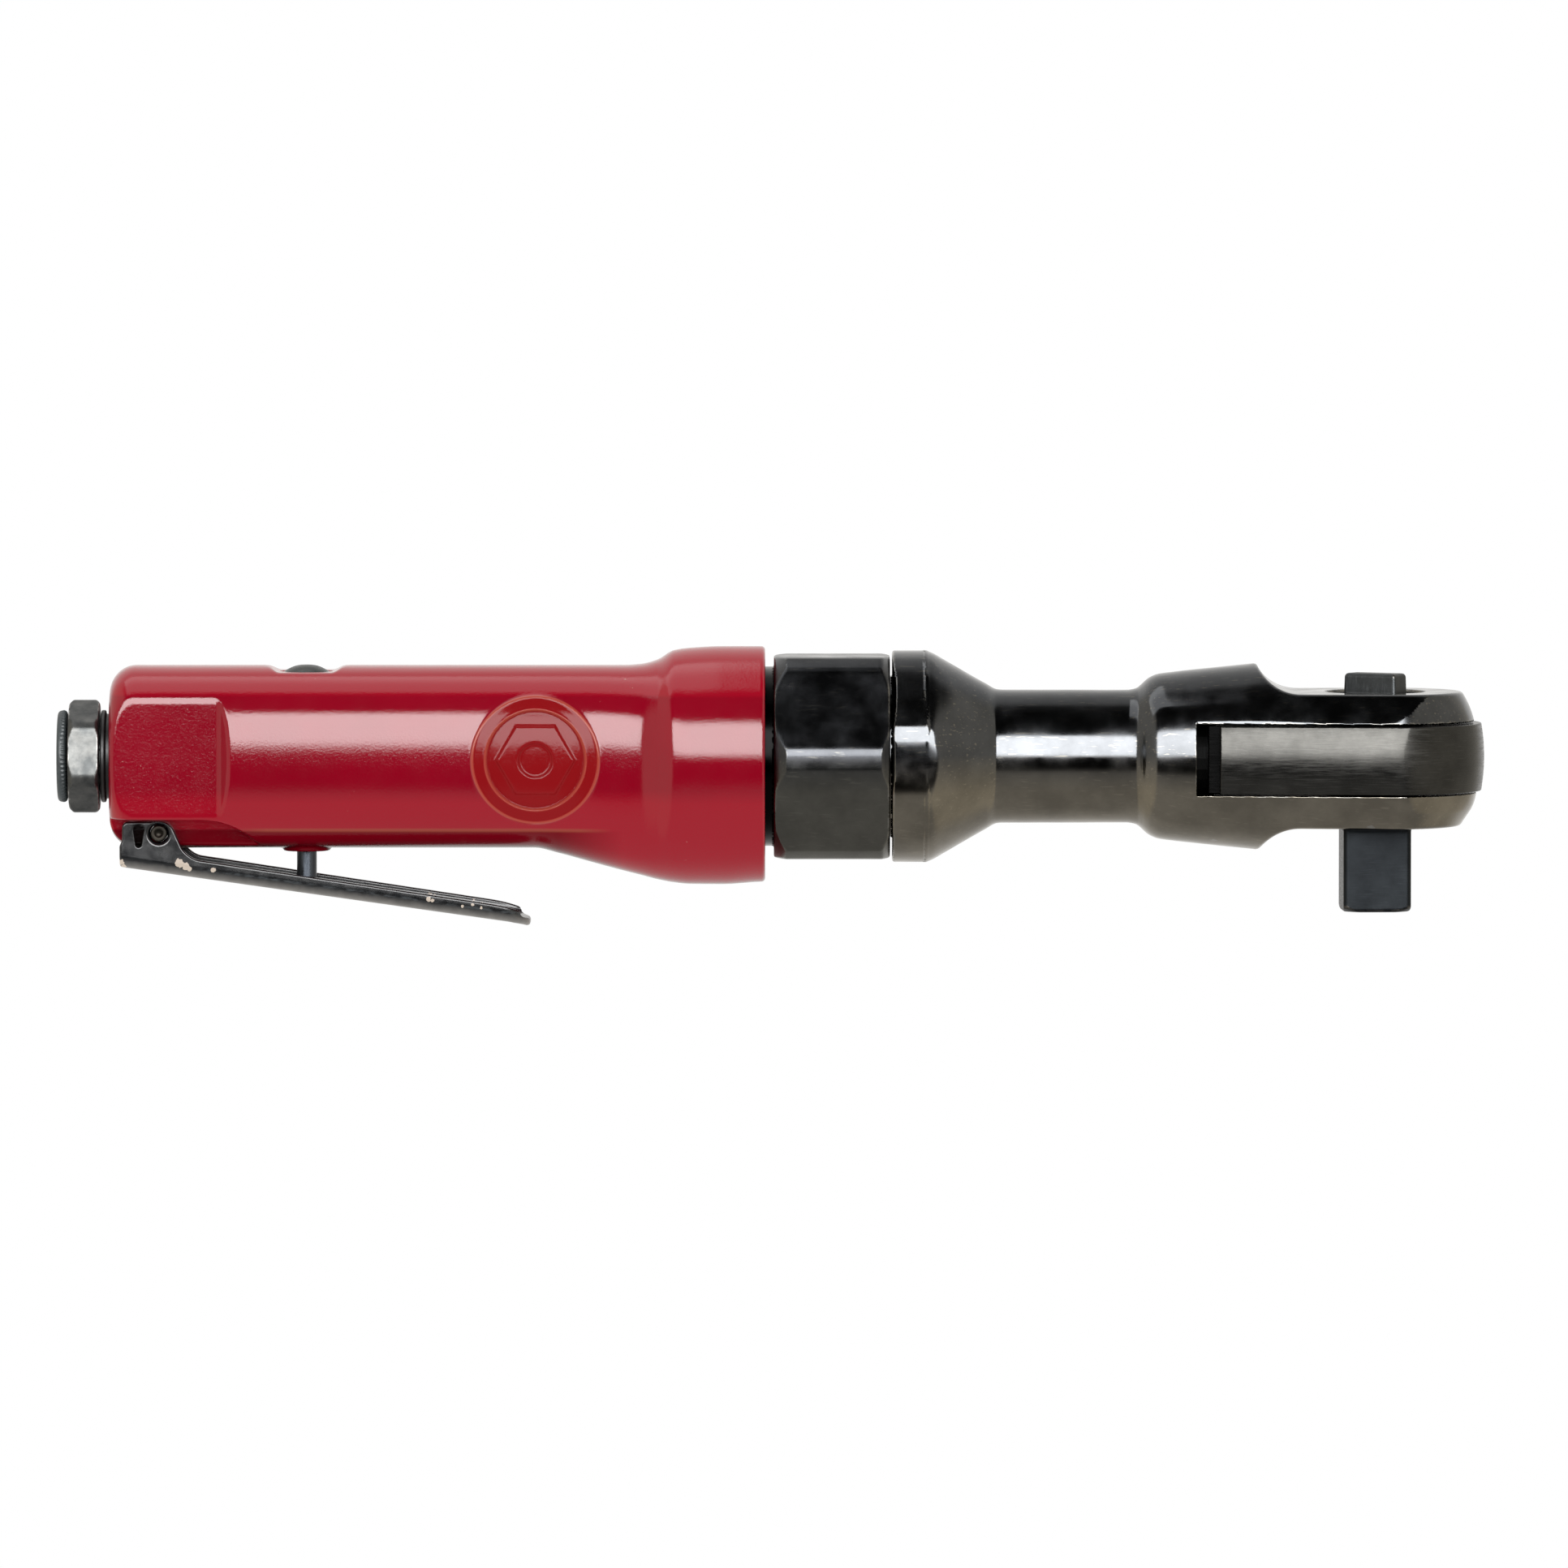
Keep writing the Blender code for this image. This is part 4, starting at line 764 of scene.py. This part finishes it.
def lever_pin():
    low, high = extent("lever_pin")

    def field(x, y, z):
        around = np.sqrt((x - PIN[0]) ** 2 + (z - PIN[2]) ** 2)
        body = meet(around - 1.55, np.abs(y) - high[1], 0.3)
        dimple = np.sqrt(around ** 2 + (np.abs(y) - high[1] - 0.5) ** 2) - 0.95
        return carve(body, dimple, 0.15)

    pin = sculpt("lever_pin_steel", field, low, high, 0.14)
    finish = brushed("pin_steel", (0.020, 0.018, 0.015), 0.42, (900, 900, 900))
    show(pin, "housing", "lever_pin", finish)


# ---------------------------------------------------------------- ratchet head
HEAD_TOP, HEAD_BOTTOM = 12.1, -12.9
SLOT_HALF, SLOT_REAR = 6.62, -33.6
YOKE_REAR = -29.2             # the yoke's rear face, between its shoulders
SHANK = [
    (-84.2, 19.9), (-82.4, 19.2), (-80.4, 18.05), (-72.5, 13.55), (-70.5, 12.5), (-69.5, 12.4),
    (-57.0, 12.38), (-46.3, 12.36), (-45.2, 12.5), (-44.4, 12.75), (-43.7, 13.3), (-42.9, 14.05),
    (-42.2, 14.6), (-41.4, 15.02), (-40.7, 15.28), (-39.9, 15.45), (-38.4, 15.65), (-28.7, 16.7),
    (-22.7, 17.3), (22.0, 21.7),
]
TAPER = (21.7 - 17.3) / 44.7


def taper_field(x, y, z):
    """The long cone that the head's flanks and the yoke's flanks share."""
    return (np.sqrt(y * y + z * z) - 17.3 - (x + 22.7) * TAPER) / (1 + TAPER ** 2) ** 0.5


def scoop_field(x, z, side):
    """What is milled away over one face of the head, ending in a round scoop."""
    face = HEAD_TOP if side > 0 else -HEAD_BOTTOM
    up = z * side
    flat = np.maximum(face - up, -14.2 - x)
    return np.minimum(flat, np.sqrt((x + 14.2) ** 2 + (up - face - 8.7) ** 2) - 8.7)


def slot_facet(x, y, z):
    """A narrow steep facet filed along the slot's upper edge, on the head's flanks."""
    lean, high = radians(10), SLOT_HALF + 0.6
    flank = np.sqrt((17.3 + (np.minimum(x, 0) + 22.7) * TAPER) ** 2 - high ** 2)
    steep = (np.abs(y) - flank) * cos(lean) + (z - high) * sin(lean)
    return steep - 3 * np.maximum(SLOT_REAR + 0.2 - x, 0) - 0.15 * np.maximum(x + 6, 0)


def ratchet_head_field(x, y, z):
    around = np.sqrt(y * y + z * z)
    radius = through(x, [row[0] for row in SHANK], [row[1] for row in SHANK])
    steep = through(x + 0.05, [row[0] for row in SHANK], [row[1] for row in SHANK]) - radius
    shank = (around - radius) / np.sqrt(1 + (steep / 0.05) ** 2)
    shank = np.maximum(shank, -84.0 - x)
    flange = meet(around - 19.7, between(x, -90.0, -83.2), 0.5)
    spigot = meet(around - 15.0, between(x, -101.3, -88.0), 0.4)
    body = np.minimum(np.minimum(join(shank, flange, 0.15), spigot), 60.0)
    nose = np.sqrt(np.maximum(x, 0) ** 2 + y * y)
    body = meet(body, nose - 18.9, 0.8)
    body = meet(body, (nose - 18.9 + (z - 8.9) * 0.84) * 0.766, 3.5)
    body = meet(body, (nose - 18.8 + (-z - 8.4) * 0.667) * 0.832, 1.2)
    body = carve(body, scoop_field(x, z, 1), 0.45)
    body = carve(body, scoop_field(x, z, -1), 0.45)
    body = meet(body, slot_facet(x, y, z), 0.04)
    slot = np.maximum(np.abs(z) - SLOT_HALF, SLOT_REAR - x)
    body = carve(body, slot, 0.2)
    bore = np.maximum(around - 8.4, x + 40)
    bore = np.minimum(bore, np.maximum(around - 9.9, between(x, -44.3, YOKE_REAR - 0.5)))
    bore = np.minimum(bore, np.maximum(around - 10.9, x + 89.9))
    bore = np.minimum(bore, np.maximum(around - 13.2, x + 101.2))
    body = carve(body, bore, 0.15)
    from_drive = np.sqrt(x * x + y * y)
    body = carve(body, np.maximum(from_drive - 9.3, -z), 0.35)
    return carve(body, np.maximum(from_drive - 8.4, z), 0.25)


def ratchet_head():
    low, high = extent("ratchet_housing")

    def by_slot(points):
        x, y, z = points.T
        beside = (np.abs(np.abs(z) - SLOT_HALF) < 1.1) & (x > SLOT_REAR - 1.0)
        behind = (np.abs(x - SLOT_REAR) < 1.3) & (np.abs(z) < SLOT_HALF) & (np.abs(y) > 13)
        return beside | behind

    head = sculpt("ratchet_head", ratchet_head_field, low, high, COARSE, refine=by_slot)
    # painted light and shade: the underside's colour is lighter and the upper side's shade darker
    finish = black_oxide("head_black", (0.190, 0.172, 0.140), (0.080, 0.083, 0.087), 0.13, 0.35)
    show(head, "housing", "ratchet_housing", finish)


YOKE_LOW, YOKE_HIGH = extent("ratchet_yoke")


def yoke_field(x, y, z):
    nose = np.sqrt(np.maximum(x, 0) ** 2 + y * y) - 20.3 + 0.55 * (z / YOKE_HIGH[2]) ** 2
    body = meet(taper_field(x, y, z), nose, 0.25)
    body = meet(body, np.abs(z) - YOKE_HIGH[2], 0.18)
    shoulder = meet(between(np.abs(y), 10.5, 13.8), YOKE_LOW[0] - x, 0.2)
    body = meet(body, np.minimum(YOKE_REAR - x, shoulder), 0.2)
    angle = np.arctan2(y, x)
    wave = np.abs((angle * 36 / (2 * pi) + 0.5) % 1 - 0.5) * 2
    hole = np.sqrt(x * x + y * y) - 9.98 + 0.68 * wave
    body = carve(body, hole, 0.05)
    pocket = np.maximum(np.abs(y) - 5.5, x + 19.0)
    pocket = np.minimum(pocket, np.maximum(np.abs(y) - 3.0, x + 16.5))
    return carve(body, pocket, 0.2)


def ratchet_yoke():
    def by_edge(points):
        return (np.abs(points[:, 2]) > YOKE_HIGH[2] - 0.9) | (points[:, 0] < YOKE_REAR + 0.8)

    yoke = sculpt("ratchet_yoke_block", yoke_field, YOKE_LOW, YOKE_HIGH, 0.38, refine=by_edge)
    # painted shade: near black rearward of the yoke's rear face, down in the slot
    finish = brushed("yoke_steel", (0.046, 0.045, 0.042), 0.27, (240, 240, 4200), painted_shade_behind=YOKE_REAR)
    show(yoke, "yoke", "ratchet_yoke", finish)


SQUARE = 12.65                # the drive square over its flats
SQUARE_TURN = 2.5             # its angle at rest, in degrees
KNOB_TURN = -30               # the reversing knob's angle at rest, in degrees


def anvil_field(x, y, z):
    half = SQUARE / 2
    square = meet(np.abs(x) - half, np.abs(y) - half, 1.0)
    square = meet(square, between(z, -AXIS, -13.0), 0.6)
    around = np.sqrt(x * x + y * y)
    square = meet(square, (around - 7.1 - (z + AXIS) * 1.8) * 0.486, 0.3)
    journal = meet(around - 8.1, between(z, -13.15, -6.0), 0.3)
    barrel = meet(around - 9.0, between(z, -6.4, 10.2), 0.5)
    body = np.minimum(join(square, journal, 0.8), barrel)
    body = carve(body, np.maximum(around - 2.6, -4.5 - z), 0.2)
    pocket = np.maximum(between(x, -12.0, -1.6), np.maximum(np.abs(y) - 8.6, np.abs(z) - 4.2))
    body = carve(body, pocket, 0.2)
    detent = np.maximum(np.sqrt(x * x + (z + 21.5) ** 2) - 1.75, 1.4 - y)
    return carve(body, detent, 0.15)


def anvil():
    low, high = extent("anvil")
    made = sculpt("anvil_drive", anvil_field, low, high, 0.25, turn=SQUARE_TURN)
    finish = brushed("anvil_black", (0.0160, 0.0180, 0.0200), 0.38, (300, 300, 5200), 0.6)
    show(made, "anvil", "anvil", finish)


def knob_field(x, y, z):
    around = np.sqrt(x * x + y * y)
    draft = (z - 11.5) * 0.03
    bar = meet(np.abs(x) - 5.45 + draft, np.abs(y) - 2.5 + draft, 0.5)
    bar = meet(bar, between(z, 11.0, 15.5), 0.75)
    base = meet(around - 5.4, between(z, 10.5, 11.6), 0.25)
    shaft = meet(around - 2.3, between(z, -3.8, 10.9), 0.3)
    return join(join(bar, base, 0.3), shaft, 0.2)


def reverse_knob():
    low, high = extent("reverse_knob")
    reach = np.array([6.5, 6.5, 0.2])
    made = sculpt("reverse_knob_bar", knob_field, np.array([0, 0, low[2]]) - reach,
                  np.array([0, 0, high[2]]) + reach, 0.2, turn=KNOB_TURN)
    finish = brushed("knob_steel", (0.045, 0.048, 0.050), 0.38, (3600, 3600, 420), 0.3)
    show(made, "knob", "reverse_knob", finish)


# ---------------------------------------------------------------- pieces kept from the CAD
def kept_pieces():
    """Inner pieces keep their CAD shape and get a finish by their material slot, save the crankshaft and its two
    bushings, which are painted near black as shade down the open slot.
    """
    steel = brushed("inner_steel", (0.50, 0.49, 0.47), 0.28, (3000, 400, 400))
    finishes = {
        "ground_steel": steel,
        "brass": machined("inner_brass", (0.62, 0.44, 0.17), 0.30),
        "bronze": machined("inner_bronze", (0.38, 0.24, 0.11), 0.42),
        "cast_iron": machined("inner_iron", (0.17, 0.17, 0.17), 0.45),
        "rubber": moulded("seal_rubber", (0.012, 0.012, 0.012), 0.55),
        "phenolic": moulded("vane_phenolic", (0.17, 0.085, 0.035), 0.55),
        "black_oxide": black_oxide("ring_black", (0.08, 0.075, 0.065), (0.08, 0.075, 0.065), 0.30),
        "plated_steel": plated("inner_plated"),
        "grey_plastic": moulded("inner_plastic", (0.05, 0.06, 0.06), 0.5),
        "black_paint": moulded("inner_black", (0.015, 0.015, 0.015), 0.4),
        "red_paint": steel,
    }
    # painted shade: a near black finish for the pieces seen down the open slot
    painted_slot_shade = machined("slot_shade_steel", (0.012, 0.012, 0.012), 0.60)    # seen down the open slot
    slots = {row["node"]: row["material_slot"] for row in frame["record"]["subparts"]}
    for name, node in frame["nodes"].items():
        node.data.materials.clear()
        in_slot = name in ("crankshaft", "drive_bushing", "front_crank_bushing")
        node.data.materials.append(painted_slot_shade if in_slot else finishes[slots[name]])


# ---------------------------------------------------------------- studio
FLOOR_DROP = 0.060            # the floor's depth below the drive square's end
GLOSS = [
    # angle in the plane across the tool, from the floor on the camera's side, up and over; brightness
    (-90, 0.50), (-72, 0.50), (-42, 0.50), (-27, 0.42), (-19, 0.05), (-14, 0.008), (4, 0.008), (84, 0.020),
    (98, 0.10), (108, 0.55), (140, 0.85), (168, 0.95), (190, 0.95), (230, 0.70), (262, 0.50),
]
ROOM_ENDS = (0.54, 0.66)      # how far a direction leans along the tool where the bands turn beige


def studio_world():
    """White to the camera, even light for matt surfaces and a banded studio in reflections."""
    world = bpy.data.worlds.new("studio")
    bpy.context.scene.world = world
    world.use_nodes = True
    tree = world.node_tree
    tree.nodes.clear()
    new, link = tree.nodes.new, tree.links.new

    def math(operation, source, value=None):
        made = new("ShaderNodeMath")
        made.operation = operation
        link(source, made.inputs[0])
        if value is not None:
            made.inputs[1].default_value = value
        return made

    def background(colour, strength):
        made = new("ShaderNodeBackground")
        made.inputs[0].default_value = (*colour, 1)
        made.inputs[1].default_value = strength
        return made

    def choose(factor, first, second):
        made = new("ShaderNodeMixShader")
        for socket, source in zip(made.inputs, (factor, first, second)):
            link(source, socket)
        return made.outputs[0]

    place = new("ShaderNodeTexCoord")
    split = new("ShaderNodeSeparateXYZ")
    link(place.outputs["Generated"], split.inputs[0])
    flip = math("MULTIPLY", split.outputs["Y"], -1)
    angle = math("ARCTAN2", split.outputs["Z"])
    link(flip.outputs[0], angle.inputs[1])
    lift = math("ADD", angle.outputs[0], 2.5 * pi)
    wrap = math("MODULO", lift.outputs[0], 2 * pi)
    scale = math("DIVIDE", wrap.outputs[0], 2 * pi)
    ramp = new("ShaderNodeValToRGB")
    stops = ramp.color_ramp.elements
    for k, (degrees_round, value) in enumerate(GLOSS):
        spot = (degrees_round + 90) / 360
        stop = stops[k] if k < 2 else stops.new(spot)
        stop.position = spot
        stop.color = (value, value * 0.985, value * 0.96, 1)
    link(scale.outputs[0], ramp.inputs[0])

    sideways = math("ABSOLUTE", split.outputs["X"])
    ends = new("ShaderNodeMapRange")
    ends.inputs["From Min"].default_value, ends.inputs["From Max"].default_value = ROOM_ENDS
    link(sideways.outputs[0], ends.inputs["Value"])
    blend = new("ShaderNodeMix")
    blend.data_type = "RGBA"
    link(ends.outputs["Result"], blend.inputs[0])
    link(ramp.outputs[0], blend.inputs[6])
    blend.inputs[7].default_value = (0.72, 0.68, 0.60, 1)

    banded = background((1, 1, 1), 1.0)
    link(blend.outputs[2], banded.inputs[0])
    even = background((1, 0.99, 0.98), 0.95)
    white = background((1, 1, 1), 1.0)
    rays = new("ShaderNodeLightPath")
    lit = choose(rays.outputs["Is Diffuse Ray"], banded.outputs[0], even.outputs[0])
    seen = choose(rays.outputs["Is Camera Ray"], lit, white.outputs[0])
    output = new("ShaderNodeOutputWorld")
    link(seen, output.inputs[0])


def strip_light(name, centre, aim, size, radiance, matt_only=False):
    """A long softbox that shows in reflections, or one that only lights matt surfaces."""
    lamp = bpy.data.lights.new(name, "AREA")
    lamp.shape = "RECTANGLE"
    lamp.size, lamp.size_y = size
    lamp.energy = radiance * pi * size[0] * size[1]
    obj = bpy.data.objects.new(name, lamp)
    obj.location = centre
    obj.rotation_euler = (Vector(aim) - Vector(centre)).to_track_quat("-Z", "Y").to_euler()
    obj.visible_camera = False
    obj.visible_diffuse = matt_only
    obj.visible_glossy = not matt_only
    bpy.context.scene.collection.objects.link(obj)


def softbox(name, aim, reach, length, edges, radiance):
    """A softbox along the tool; edges are its lower and upper edge in degrees above the tool axis."""
    rise, half = radians((edges[0] + edges[1]) / 2), radians((edges[1] - edges[0]) / 2)
    spot = aim + Vector((0, -reach * cos(rise), reach * sin(rise)))
    strip_light(name, spot, aim, (length, 2 * reach * tan(half)), radiance)


def studio():
    studio_world()
    low, high = CAD_BOX
    centre = (low + high) / 2
    aim = Vector((centre.x, 0, AXIS * MM))
    softbox("softbox_low", aim, 1.3, 1.75, (1.5, 4), 4.0)
    softbox("softbox_top", aim, 1.3, 1.75, (4, 38.5), 10.6)
    beyond_handle = Vector((-0.315, 0, AXIS * MM))
    softbox("overhead_softbox", beyond_handle, 0.5, 0.4, (75, 118), 1.2)
    high_spot = aim + Vector((0.1, -0.9, 1.4))
    strip_light("soft_fill", high_spot, aim, (1.4, 1.0), 0.55, matt_only=True)

    floor_mesh = bpy.data.meshes.new("floor")
    work = bmesh.new()
    bmesh.ops.create_grid(work, x_segments=1, y_segments=1, size=6)
    work.to_mesh(floor_mesh)
    work.free()
    floor = bpy.data.objects.new("floor", floor_mesh)
    floor.location = (centre.x, 0, -FLOOR_DROP)
    floor_material = bpy.data.materials.new("pale_floor")
    floor_material.use_nodes = True
    tree = floor_material.node_tree
    tree.nodes.clear()
    glow = tree.nodes.new("ShaderNodeEmission")
    glow.inputs["Strength"].default_value = 1.0
    clear = tree.nodes.new("ShaderNodeBsdfTransparent")
    mix = tree.nodes.new("ShaderNodeMixShader")
    geometry = tree.nodes.new("ShaderNodeNewGeometry")
    output = tree.nodes.new("ShaderNodeOutputMaterial")
    tree.links.new(geometry.outputs["Backfacing"], mix.inputs[0])
    tree.links.new(glow.outputs[0], mix.inputs[1])
    tree.links.new(clear.outputs[0], mix.inputs[2])
    tree.links.new(mix.outputs[0], output.inputs["Surface"])
    floor_mesh.materials.append(floor_material)
    floor.visible_glossy = False
    floor.visible_diffuse = False
    bpy.context.scene.collection.objects.link(floor)


def camera():
    """Level with the tool and a little above it, far enough away to flatten perspective."""
    distance, elevation = 3.0, radians(3.1)
    width = 0.2921                # what the frame takes in at the tool
    target = Vector((-0.1101, 0, 0.0236))
    data = bpy.data.cameras.new("camera")
    data.sensor_width = 36
    data.lens = 36 * distance / width
    data.clip_end = 20
    obj = bpy.data.objects.new("camera", data)
    back = Vector((0, -cos(elevation), sin(elevation)))
    obj.location = target + back * distance
    obj.rotation_euler = (-back).to_track_quat("-Z", "Y").to_euler()
    bpy.context.scene.collection.objects.link(obj)
    bpy.context.scene.camera = obj


bpy.context.scene.view_settings.view_transform = "Standard"
kept_pieces()
motor_housing()
throttle_lever()
hex_coupling()
inlet_bushing()
inlet_plug()
exhaust_deflector()
valve_cap()
valve_stem()
lever_pin()
ratchet_head()
ratchet_yoke()
anvil()
reverse_knob()
studio()
camera()
